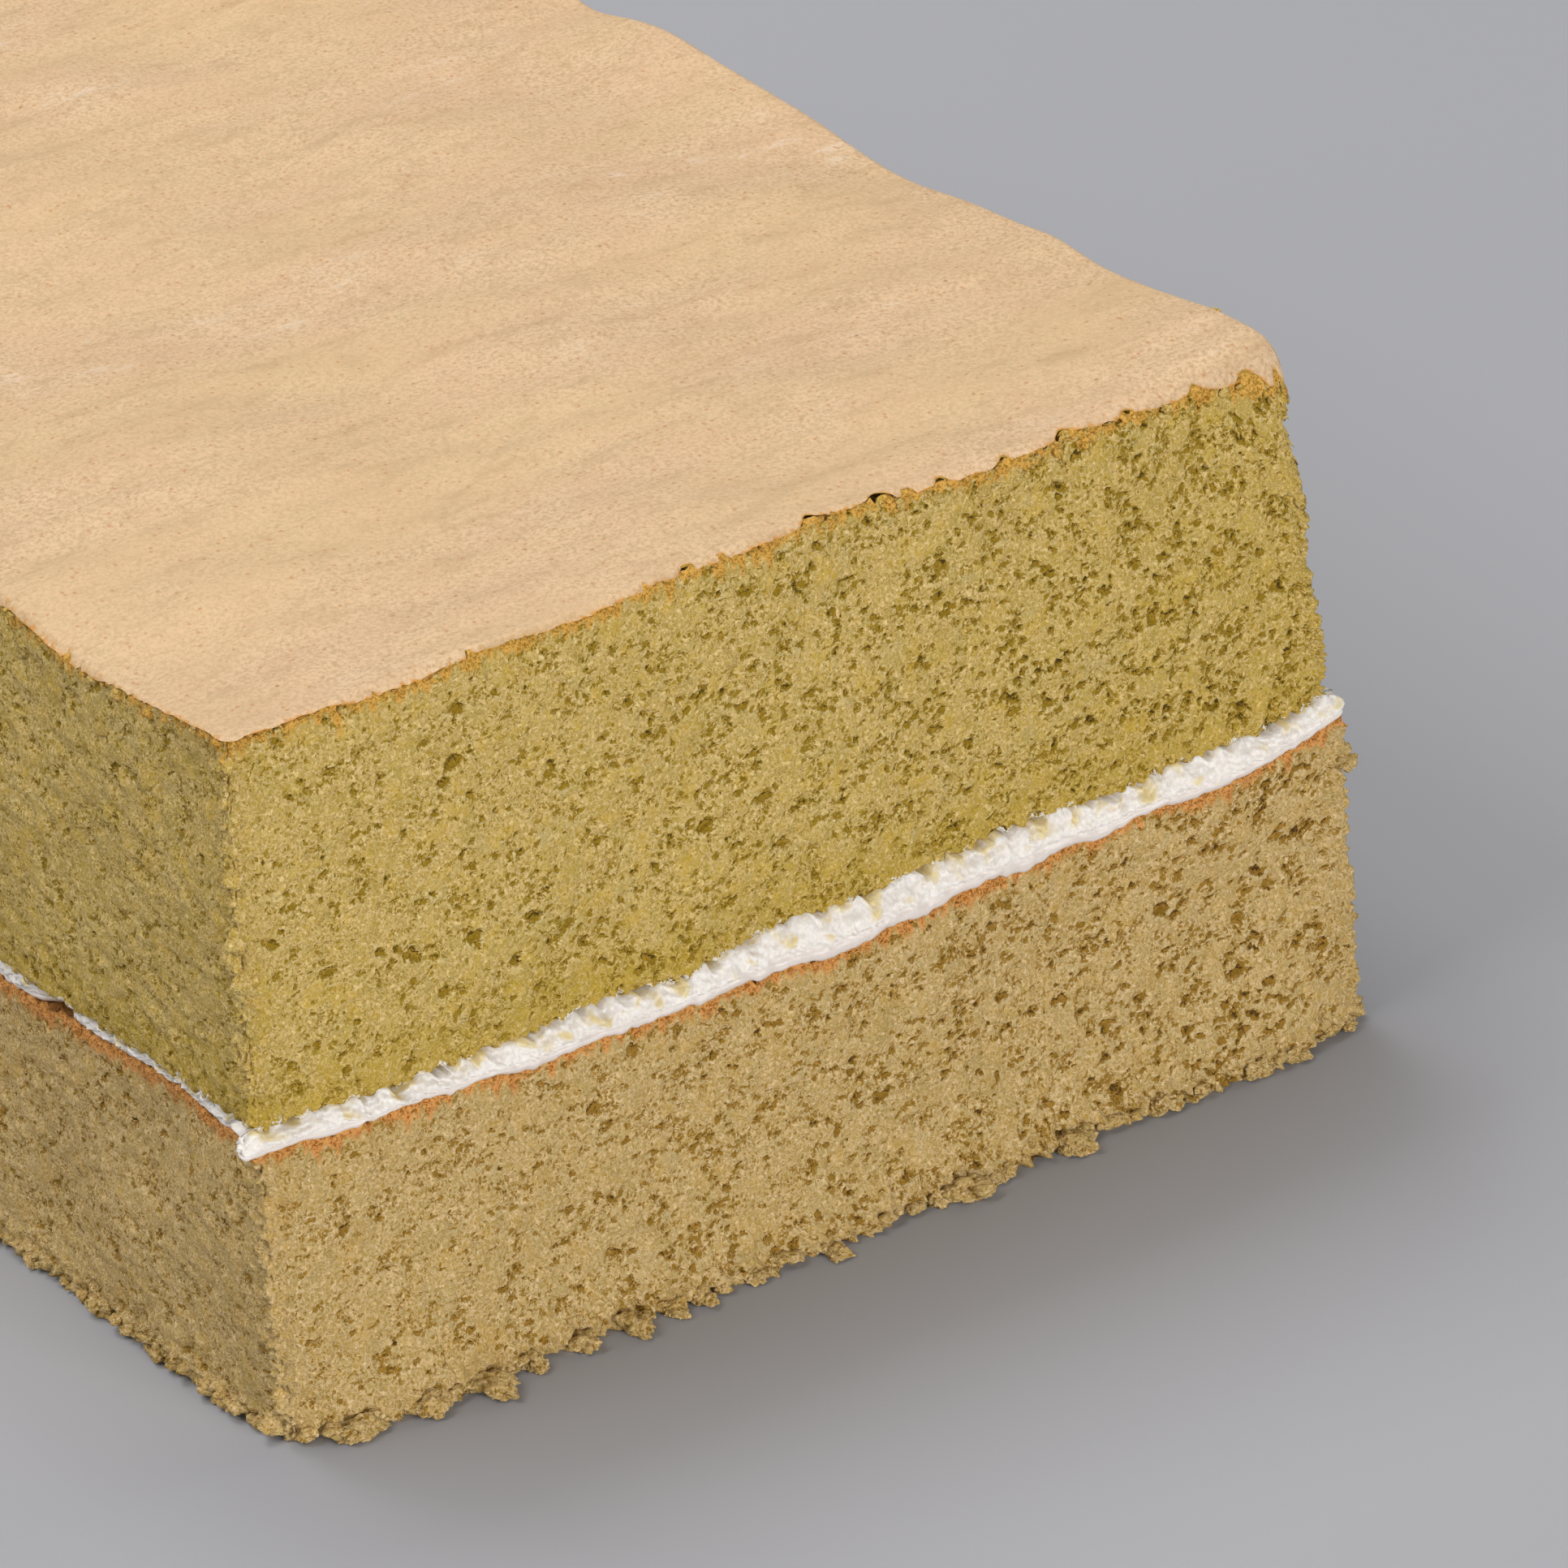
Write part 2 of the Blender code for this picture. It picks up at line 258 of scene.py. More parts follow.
    def top_height(self, x: Array, y: Array) -> Array:
        """The baked top: a low dome, swollen here and there, rounded down at the rim.

        Args:
            x: places across.
            y: places along.

        Returns:
            The heights.
        """
        across, along, from_front = x / self.half_width, y / self.half_length, y + self.half_length
        dome = self.dome_across * across**2 + self.dome_along * along**2
        flat = np.stack((x, y, np.zeros_like(x)), -1)
        calm = self.calm + (1 - self.calm) * smooth_step(from_front, 0.0, self.calm_reach)
        near_rim = np.exp(-(((self.half_width - x) / self.bump_reach) ** 2))
        drop = np.zeros_like(x)
        for side, gap in self.gaps(x, y).items():
            radius = self.rim_radius.at(side)
            into = np.clip((radius + self.lean.at(side) - gap) / radius, 0.0, 1.0)
            drop = np.maximum(drop, radius * (1 - np.sqrt(1 - into**2)))
        start = self.corner_drop_start
        to_corner = np.clip((x - start) / (self.half_width - start), 0.0, None)
        near_front = np.exp(-((from_front / self.corner_drop_reach) ** 2))
        drop = drop + self.corner_drop * to_corner**self.corner_drop_curve * near_front
        drop = drop - self.right_rise * smooth_step(across, *self.rise_across)
        swell = calm * self.top_swell.at(flat) + near_rim * bells(y, self.rim_bumps)
        return self.top_at_centre - dome + swell - drop

    def cream_bottom_height(self, x: Array, y: Array) -> Array:
        """The top of the lower layer, which sags between its sides.

        Args:
            x: places across.
            y: places along.

        Returns:
            The heights.
        """
        u = x / self.half_width
        flat = np.stack((x, y, np.zeros_like(x)), -1)
        lift = self.cream_bottom_tilt * u + self.cream_bottom_lift * u**2
        return self.cream_bottom + lift + self.cream_swell.at(flat)

    def cream_top_height(self, x: Array, y: Array) -> Array:
        """The underside of the upper layer, whose waves are read at a level of their own.

        Args:
            x: places across.
            y: places along.

        Returns:
            The heights.
        """
        u = x / self.half_width
        level = np.stack((x, y, np.full_like(x, self.half_width)), -1)
        near_front = np.exp(-(((y + self.half_length) / self.swell_reach) ** 2))
        lift = self.cream_top_tilt * u + self.cream_top_lift * u**4
        lift = lift + near_front * bells(x, self.cream_swellings)
        return self.cream_top + lift + self.cream_swell.at(level)

    def floor_height(self, layer: Layer, x: Array, y: Array) -> Array:
        """Where a layer begins.

        Args:
            layer: the layer asked about.
            x: places across.
            y: places along.

        Returns:
            The heights.
        """
        if layer is Layer.UPPER:
            return self.cream_top_height(x, y)
        return self.cream_bottom_height(x, y) if layer is Layer.CREAM else np.zeros_like(x)

    def height_within(self, layer: Layer, x: Array, y: Array, t: Array) -> Array:
        """The height at a share of a layer's height.

        Args:
            layer: the layer asked about.
            x: places across.
            y: places along.
            t: share of the layer's height, 0 to 1.

        Returns:
            The heights.
        """
        roofs = {
            Layer.LOWER: self.cream_bottom_height,
            Layer.CREAM: self.cream_top_height,
            Layer.UPPER: self.top_height,
        }
        low = self.floor_height(layer, x, y)
        return low + t * (roofs[layer](x, y) - low)

    def outward(self, layer: Layer, x: Array, y: Array, z: Array) -> dict[Side, Array]:
        """How far a layer's sides stand out of the plan.

        Args:
            layer: the layer asked about.
            x: places across.
            y: places along.
            z: heights of the places.

        Returns:
            For each side, how far out each place would be moved by it.
        """
        swell = self.side_swell.at(np.stack((x, y, z), -1))
        if layer is Layer.CREAM:
            out = {side: self.cream_out.at(side) + swell for side in Side}
            out[Side.LEFT] = out[Side.LEFT] - bells(y, self.hollows)
            return out
        if layer is Layer.UPPER:
            leaning = smooth_step(z, self.cream_top, self.top_at_centre) ** self.lean_power
            out = {side: swell - self.lean.at(side) * leaning for side in Side}
            out[Side.RIGHT] = out[Side.RIGHT] - bells(z, self.right_hollow)
            return out
        tucked = self.tuck * np.clip(1 - z / self.tuck_height, 0, 1) ** 2
        across = np.minimum(abs(x) / self.half_width, 1) ** self.corner_power
        along = np.minimum(abs(y) / self.half_length, 1) ** self.corner_power
        spread = np.exp(-z / self.spread_height) * (1 - self.spread_lost * across * along)
        foot = {side: self.lower_out.at(side) + self.spread.at(side) * spread for side in Side}
        return {side: out - tucked + swell for side, out in foot.items()}

    def placed(self, layer: Layer, u: Array, v: Array, t: Array) -> Array:
        """The places of a layer's points.

        Args:
            layer: the layer that the points are on.
            u: places across, -1 to 1.
            v: places along, -1 to 1.
            t: share of the layer's height, 0 to 1.

        Returns:
            The points, with x, y and z along the last axis.
        """
        x, y = self.rounded_plan(u, v)
        out = self.outward(layer, x, y, self.height_within(layer, x, y, t))
        right, left = (np.clip(way, 0, 1) ** self.side_power for way in (u, -u))
        back, front = (np.clip(way, 0, 1) ** self.side_power for way in (v, -v))
        x = x + right * out[Side.RIGHT] - left * out[Side.LEFT]
        y = y + back * out[Side.BACK] - front * out[Side.FRONT]
        return np.stack((x, y, self.height_within(layer, x, y, t)), -1)


@dataclass(frozen=True)
class NoiseMap:
    """A flat map of values in even cells, repeating along its first axis, read at any place."""

    values: Array
    cell: float
    least_cells: ClassVar[int] = 8
    soft_ends: ClassVar[Pair] = (0.7, 1.4)

    @classmethod
    def made(
        cls, size: Pair, cell: float, band: Pair, seed: int, stretch: float = 1.0
    ) -> NoiseMap:
        """Noise that holds only one band of wave lengths, with mean 0 and spread 1.

        Args:
            size: the map's length along and up.
            cell: the size of a cell.
            band: the shortest and longest wave kept.
            seed: seed of the draw.
            stretch: how many times as long along the map as up it the waves are.

        Returns:
            The map.
        """
        shape = tuple(max(cls.least_cells, int(round(length / cell))) for length in size)
        rng = np.random.default_rng(seed)
        spectrum = np.fft.rfft2(rng.normal(size=shape))
        along = np.fft.fftfreq(shape[0], cell)[:, None] * stretch
        up = np.fft.rfftfreq(shape[1], cell)[None, :]
        wave = np.log(1 / np.maximum(np.hypot(along, up), 1e-9))
        ends = [[math.log(length * soft) for soft in cls.soft_ends] for length in band]
        kept = smooth_step(wave, *ends[0]) * (1 - smooth_step(wave, *ends[1]))
        values = np.fft.irfft2(spectrum * kept, shape)
        return cls(values / values.std(), cell)

    def at(self, along: Array, up: Array | float) -> Array:
        """Reads the map between its cells.

        Args:
            along: places along the map.
            up: places up it.

        Returns:
            The values there.
        """
        a = along / self.cell
        b = np.clip(up / self.cell, 0, self.values.shape[1] - 1.001) + np.zeros_like(a)
        a0, b0 = np.floor(a).astype(int), np.floor(b).astype(int)
        fa, fb = a - a0, b - b0
        count = self.values.shape[0]
        a0, a1 = a0 % count, (a0 + 1) % count
        low = self.values[a0, b0] * (1 - fa) + self.values[a1, b0] * fa
        high = self.values[a0, b0 + 1] * (1 - fa) + self.values[a1, b0 + 1] * fa
        return low * (1 - fb) + high * fb


@dataclass(frozen=True)
class OpenPores:
    """Open pores of one size, cut where waves of one band run high."""

    band: Pair
    stretch: float
    closed: float
    opened: float
    depth: float
    # How strongly painted shade fills the pores, and how dark the deeper painted shade in them is
    hole_shading: float
    darkness: float
    below: float = math.inf


@dataclass(frozen=True)
class Bubbles:
    """Single holes of one range of sizes: how many, how large, how deep and how flattened."""

    per_square_mm: float
    radius: Pair
    depth: float
    flatness: Pair
    # How dark the painted shade under each hole's roof is
    darkness: float = 1.0


@dataclass(frozen=True)
class CrumbMap:
    """The pores of one layer's sides, laid out along the walk round it and up its height."""

    # pore and shade are painted shade in the holes and under their roofs, lip a painted highlight
    # below them
    depth: NoiseMap
    pore: NoiseMap
    shade: NoiseMap
    lip: NoiseMap
    cell: ClassVar[float] = 0.15 * MM
    crowding_band: ClassVar[Pair] = (4.0 * MM, 14.0 * MM)
    crowding: ClassVar[float] = 0.45
    thinning: ClassVar[float] = 0.3
    ragged_band: ClassVar[Pair] = (0.6 * MM, 2.0 * MM)
    ragged_along: ClassVar[float] = 0.09 * MM
    ragged_up: ClassVar[float] = 0.07 * MM
    tilt: ClassVar[float] = 0.3
    window: ClassVar[float] = 1.6
    # Where the ring of painted highlight below each hole lies, and how wide it is, in radii
    highlight_ring_at: ClassVar[float] = 1.1
    highlight_ring_width: ClassVar[float] = 0.22

    @classmethod
    def made(
        cls, size: Pair, pores: tuple[OpenPores, ...], bubbles: tuple[Bubbles, ...], seed: int
    ) -> CrumbMap:
        """Opens the pores and draws the single holes as dents with ragged edges.

        Args:
            size: the walk's length and the layer's height.
            pores: the kinds of open pore.
            bubbles: the kinds of single hole.
            seed: seed of the draw.

        Returns:
            The maps of how deep the dents are, where they are and how much painted shade fills
            them, the painted shade under their roofs and the painted highlights on their lower
            lips.
        """
        rng = np.random.default_rng(seed)
        crowded = NoiseMap.made(size, cls.cell, cls.crowding_band, seed + 50).values
        along, up = (np.arange(count) * cls.cell for count in crowded.shape)
        maps = {title: np.zeros(crowded.shape) for title in ("depth", "pore", "shade", "lip")}
        for number, kind in enumerate(pores):
            waves = NoiseMap.made(size, cls.cell, kind.band, seed + number, kind.stretch).values
            share = smooth_step(waves + cls.crowding * crowded, kind.closed, kind.opened)
            if kind.below < math.inf:
                share = share * (1 - smooth_step(up, 0.4 * kind.below, kind.below))
            # Open pores get painted shade inside them, and darker painted shade by their darkness
            marks = {"depth": kind.depth, "pore": kind.hole_shading, "shade": kind.darkness}
            for title, mark in marks.items():
                maps[title] = np.maximum(maps[title], mark * share)
        ragged = [NoiseMap.made(size, cls.cell, cls.ragged_band, seed + k).values for k in (31, 32)]
        grid = along[:, None] + cls.ragged_along * ragged[0], up + cls.ragged_up * ragged[1]
        for kind in bubbles:
            for _ in range(int(kind.per_square_mm * size[0] * size[1] / MM**2)):
                place = rng.uniform(0, size[0]), rng.uniform(0, size[1])
                crowd = crowded[int(place[0] / cls.cell) - 1, int(place[1] / cls.cell) - 1]
                if crowd >= rng.normal() - cls.thinning:
                    cls._sink(maps, kind, place, grid, rng)
        return cls(**{title: NoiseMap(values, cls.cell) for title, values in maps.items()})

    @classmethod
    def _sink(
        cls,
        maps: dict[str, Array],
        kind: Bubbles,
        place: Pair,
        grid: tuple[Array, Array],
        rng: np.random.Generator,
    ) -> None:
        """Sinks one hole into the maps.

        Args:
            maps: the maps, which are changed.
            kind: the kind of hole.
            place: where it is, along and up.
            grid: the places of the maps' cells along and up, made ragged.
            rng: the draw of its size and form.
        """
        least, most = kind.radius
        radius = least + (most - least) * rng.uniform() ** 2
        flat = rng.uniform(*kind.flatness)
        long_radius = radius / math.sqrt(flat)
        lows = [max(int((at - cls.window * long_radius) / cls.cell), 0) for at in place]
        highs = [int((at + cls.window * long_radius) / cls.cell) + 2 for at in place]
        window = slice(lows[0], highs[0]), slice(lows[1], highs[1])
        angle = rng.normal(0, cls.tilt)
        dx, dy = (cells[window] - at for cells, at in zip(grid, place))
        a = (dx * math.cos(angle) + dy * math.sin(angle)) / long_radius
        b = (dy * math.cos(angle) - dx * math.sin(angle)) / (long_radius * flat)
        reach = np.hypot(a, b)
        inside = np.clip(1 - reach, 0, 1)
        strength = 0.3 + 0.7 * rng.uniform() ** 1.6
        # How much painted shade fills the hole
        hollow = strength * smooth_step(inside, 0.0, 0.4)
        edge = np.exp(-(((reach - cls.highlight_ring_at) / cls.highlight_ring_width) ** 2))
        # shade is painted shade in the hole's upper half, lip a painted highlight just outside its
        # lower edge
        marks = {
            "depth": kind.depth * strength * radius / most * smooth_step(inside, 0.0, 0.75),
            "pore": hollow,
            "shade": kind.darkness * hollow * smooth_step(b, -0.35, 0.35),
            "lip": strength * edge * smooth_step(-b, 0.1, 0.8),
        }
        for title, mark in marks.items():
            maps[title][window] = np.maximum(maps[title][window], mark)


def graded_lines(half: float, rim: Pair, near: Pair, far: float) -> Array:
    """Places from -half to half, close together at both ends.

    Args:
        half: half the whole length.
        rim: the step at both ends, and how far in it is kept.
        near: the step after the first end, and how far it is kept.
        far: the step elsewhere.

    Returns:
        The places, first to last.
    """
    lines = [-half]
    while lines[-1] < half:
        gap = half + lines[-1]
        to_end = half - lines[-1]
        near_step = near[0] if gap < near[1] else far
        lines.append(lines[-1] + (rim[0] if min(gap, to_end) < rim[1] else near_step))
    spread = np.array(lines)
    return -half + (spread + half) * 2 * half / (spread[-1] + half)


@dataclass(frozen=True)
class WallWalk:
    """The walk round the block: columns of points, even along each side."""

    u: Array
    v: Array
    along: Array
    length: float
    normal: Array
    starts: tuple[int, ...]
    edge_band: ClassVar[float] = 5.0 * MM
    turned: ClassVar[int] = 14
    eased: ClassVar[int] = 9

    @classmethod
    def made(cls, form: CakeForm, spacing: SideSizes) -> WallWalk:
        """Lays out the columns, from the front's left edge round to it again.

        Args:
            form: the block's form.
            spacing: how far apart the columns are on each side.

        Returns:
            The walk.
        """
        wide, deep = 2 * form.half_width, 2 * form.half_length
        lengths = {Side.FRONT: wide, Side.RIGHT: deep, Side.BACK: wide, Side.LEFT: deep}
        u, v, starts = [], [], [0]
        for side, length in lengths.items():
            half, step = length / 2, spacing.at(side)
            rim = spacing.front, cls.edge_band
            even = graded_lines(half, rim, (step, 0.0), step)[:-1] / half
            one = np.ones(len(even))
            plan = {
                Side.FRONT: (even, -one),
                Side.RIGHT: (one, even),
                Side.BACK: (-even, one),
                Side.LEFT: (-one, -even),
            }
            u.append(plan[side][0])
            v.append(plan[side][1])
            starts.append(starts[-1] + len(even))
        u_all, v_all = np.concatenate(u), np.concatenate(v)
        x, y = form.rounded_plan(u_all, v_all)
        steps = np.hypot(np.roll(x, -1) - x, np.roll(y, -1) - y)
        along = np.concatenate(([0.0], np.cumsum(steps)))
        ahead = np.stack([np.roll(axis, -1) - np.roll(axis, 1) for axis in (x, y)], -1)
        ahead /= np.linalg.norm(ahead, axis=-1, keepdims=True)
        normal = np.stack((ahead[:, 1], -ahead[:, 0]), -1)
        return cls(u_all, v_all, along[:-1], float(along[-1]), normal, tuple(starts))

    def columns(self, side: Side) -> Array:
        """The columns of one side, lapped over its neighbours'.

        Args:
            side: which side; the front's columns turn both its upright edges.

        Returns:
            The numbers of the columns.
        """
        first = {Side.FRONT: -self.turned, Side.RIGHT: self.turned}.get(side, 0)
        last = {Side.FRONT: self.turned, Side.LEFT: -self.turned}.get(side, 0)
        start, end = self.starts[side.value : side.value + 2]
        return np.arange(start + first - 1, end + last + 2) % len(self.u)

    def whole(self) -> Array:
        """All the columns, the last one the first again."""
        return np.arange(len(self.u) + 1) % len(self.u)

    def by_side(self, sizes: SideSizes) -> Array:
        """A size for each column, eased over a few columns at the upright edges.

        Args:
            sizes: the size on each side.

        Returns:
            The size at each column.
        """
        plain = np.repeat([sizes.at(side) for side in Side], np.diff(self.starts))
        turn = self.eased // 2
        around = np.concatenate((plain[-turn:], plain, plain[:turn]))
        return np.convolve(around, np.ones(self.eased) / self.eased, mode="valid")


def linked(name: str, data: bpy.types.ID) -> bpy.types.Object:
    """Puts a new object into the scene.

    Args:
        name: the object's name.
        data: its mesh, light or camera.

    Returns:
        The object.
    """
    made = bpy.data.objects.new(name, data)
    bpy.context.scene.collection.objects.link(made)
    return made


def finished(
    mesh: bpy.types.Mesh, values: dict[str, Array], material: bpy.types.Material
) -> bpy.types.Object:
    """Smooths a mesh, gives it its finish and puts it into the scene.

    Args:
        mesh: the mesh, named as the piece will be.
        values: named values for each point, which the finish reads.
        material: the finish.

    Returns:
        The new object.
    """
    mesh.shade_smooth()
    for title, value in values.items():
        data = mesh.attributes.new(title, "FLOAT", "POINT").data
        data.foreach_set("value", value.astype(np.float32).ravel())
    mesh.materials.append(material)
    return linked(mesh.name, mesh)


def grid_object(
    name: str, points: Array, values: dict[str, Array], material: bpy.types.Material
) -> bpy.types.Object:
    """Makes a sheet of four-sided faces from rows of points.

    Args:
        name: the piece's name.
        points: places, by row, column and axis, seen from outside with columns to the right.
        values: named values for each point, which the finish reads.
        material: the sheet's finish.

    Returns:
        The new object, with an even bake map over the whole sheet.
    """
    rows, columns = points.shape[:2]
    mesh = bpy.data.meshes.new(name)
    mesh.vertices.add(rows * columns)
    mesh.vertices.foreach_set("co", points.astype(np.float32).ravel())
    index = np.arange(rows * columns).reshape(rows, columns)
    corners = index[:-1, :-1], index[:-1, 1:], index[1:, 1:], index[1:, :-1]
    quads = np.stack(corners, -1).reshape(-1, 4)
    mesh.loops.add(quads.size)
    mesh.loops.foreach_set("vertex_index", quads.astype(np.int32).ravel())
    mesh.polygons.add(len(quads))
    mesh.polygons.foreach_set("loop_start", np.arange(0, quads.size, 4, dtype=np.int32))
    mesh.update(calc_edges=True)
    across = (index % columns) / (columns - 1)
    up = (index // columns) / (rows - 1)
    places = np.stack((across, up), -1).reshape(-1, 2)[quads.ravel()]
    bake_map = mesh.uv_layers.new(name=BAKE_MAP)
    bake_map.uv.foreach_set("vector", places.astype(np.float32).ravel())
    return finished(mesh, values, material)


def dressed(piece: bpy.types.Object, slot: str, *nodes: str) -> bpy.types.Object:
    """Seats a piece on the body and reports it.

    Args:
        piece: the piece.
        slot: the record's slot for its finish; not used.
        nodes: the solids that it stands for.

    Returns:
        The piece.
    """
    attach(piece, BODY)
    if nodes:
        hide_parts(*nodes)
    LOG.info("%s: %d faces", piece.name, len(piece.data.polygons))
    return piece


@dataclass(frozen=True)
class Patch:
    """Where a tone is laid over a colour: from what value of a mask to what, and how strongly."""

    start: float
    full: float
    share: float = 1.0


@dataclass(frozen=True)
class Cloud:
    """Cloudy noise: the size of its lumps, and how many and how strong its finer sizes are."""

    size: float
    detail: float
    rough: float


class NodeBench:
    """A place to set out and join the nodes of one material or group."""

    mix_inputs: ClassVar[tuple[int, int, int]] = (0, 6, 7)
    mix_output: ClassVar[int] = 2

    def __init__(self, tree: bpy.types.NodeTree) -> None:
        """Takes the tree to work on."""
        self.tree = tree

    def feed(self, node: bpy.types.Node, links: dict[str | int, object]) -> None:
        """Joins sockets to a node's inputs, or sets their values.

        Args:
            node: the node.
            links: for inputs by name or number, a socket to join or a value to set.
        """
        for name, value in links.items():
            if isinstance(value, Socket):
                self.tree.links.new(value, node.inputs[name])
            else:
                node.inputs[name].default_value = value

    def add(
        self, kind: str, links: dict[str | int, object] | None = None, **settings: object
    ) -> bpy.types.Node:
        """Adds a node.

        Args:
            kind: the node's type name, without ShaderNode.
            links: what its inputs are fed with.
            settings: the node's own properties.

        Returns:
            The node.
        """
        node = self.tree.nodes.new(kind if kind.startswith("Node") else "ShaderNode" + kind)
        for name, value in settings.items():
            setattr(node, name, value)
        self.feed(node, links or {})
        return node

    def math(self, operation: str, *values: Socket | float, clamp: bool = False) -> Socket:
        """A sum, product or other operation of sockets and numbers."""
        links = dict(enumerate(values))
        return self.add("Math", links, operation=operation, use_clamp=clamp).outputs[0]

    def ramp(self, value: Socket, span: Pair, to: Pair = (0.0, 1.0)) -> Socket:
        """Eases a value from one range into another.

        Args:
            value: the value.
            span: the value that gives the first of to, and the one that gives the second.
            to: what they give.

        Returns:
            The eased value.
        """
        spans = {"From Min": span[0], "From Max": span[1], "To Min": to[0], "To Max": to[1]}
        links = {"Value": value, **spans}
        return self.add("MapRange", links, interpolation_type="SMOOTHSTEP").outputs[0]

    def mix(self, share: Socket, first: Socket | Colour, second: Socket | Colour) -> Socket:
        """Mixes two colours.

        Args:
            share: how much of the second shows.
            first: the colour at 0.
            second: the colour at 1.

        Returns:
            The mixed colour.
        """
        node = self.add("Mix", data_type="RGBA")
        tones = ((*tone, 1.0) if isinstance(tone, tuple) else tone for tone in (first, second))
        self.feed(node, dict(zip(self.mix_inputs, (share, *tones))))
        return node.outputs[self.mix_output]

    def tinted(self, colour: Socket, mask: Socket, share: float, tone: Socket | Colour) -> Socket:
        """Lays a tone over a colour where a mask says."""
        return self.mix(self.math("MULTIPLY", mask, share), colour, tone)

    def laid(self, colour: Socket, mask: Socket, patch: Patch, tone: Socket | Colour) -> Socket:
        """Lays a tone over a colour in patches of a mask."""
        return self.tinted(colour, self.ramp(mask, (patch.start, patch.full)), patch.share, tone)

    def noise(
        self, where: Socket, scale: Socket | float, detail: float, rough: float
    ) -> bpy.types.Node:
        """Cloudy noise with lumps of about 1 / scale metres."""
        links = {"Vector": where, "Scale": scale, "Detail": detail, "Roughness": rough}
        return self.add("TexNoise", links)

    def cloudy(self, where: Socket, cloud: Cloud, output: int | str = 0) -> Socket:
        """The value of cloudy noise, or its colour."""
        return self.noise(where, 1 / cloud.size, cloud.detail, cloud.rough).outputs[output]

    def bump(self, height: Socket, depth: float, strength: float = 1.0) -> Socket:
        """The surface's direction, tilted by a height."""
        links = {"Height": height, "Distance": depth, "Strength": strength}
        return self.add("Bump", links).outputs[0]

    def value(self, title: str) -> Socket:
        """A named value of the mesh's points."""
        return self.add("Attribute", attribute_name=title).outputs["Fac"]

    def place(self) -> Socket:
        """The place on the piece, in metres."""
        return self.add("TexCoord").outputs["Object"]


@dataclass(frozen=True)
class EffectSocket:
    """An input or output of a shared effect."""

    name: str
    kind: str = "NodeSocketFloat"
    start: float | None = None


def effect_group(
    name: str, inputs: tuple[EffectSocket, ...], outputs: tuple[EffectSocket, ...]
) -> bpy.types.NodeTree:
    """Makes an empty shader group with its sockets.

    Args:
        name: the group's name.
        inputs: its inputs.
        outputs: its outputs.

    Returns:
        The group's tree.
    """
    tree = bpy.data.node_groups.new(name, "ShaderNodeTree")
    for way, sockets in (("INPUT", inputs), ("OUTPUT", outputs)):
        for socket in sockets:
            made = tree.interface.new_socket(socket.name, in_out=way, socket_type=socket.kind)
            if socket.start is not None:
                made.default_value = socket.start
    return tree


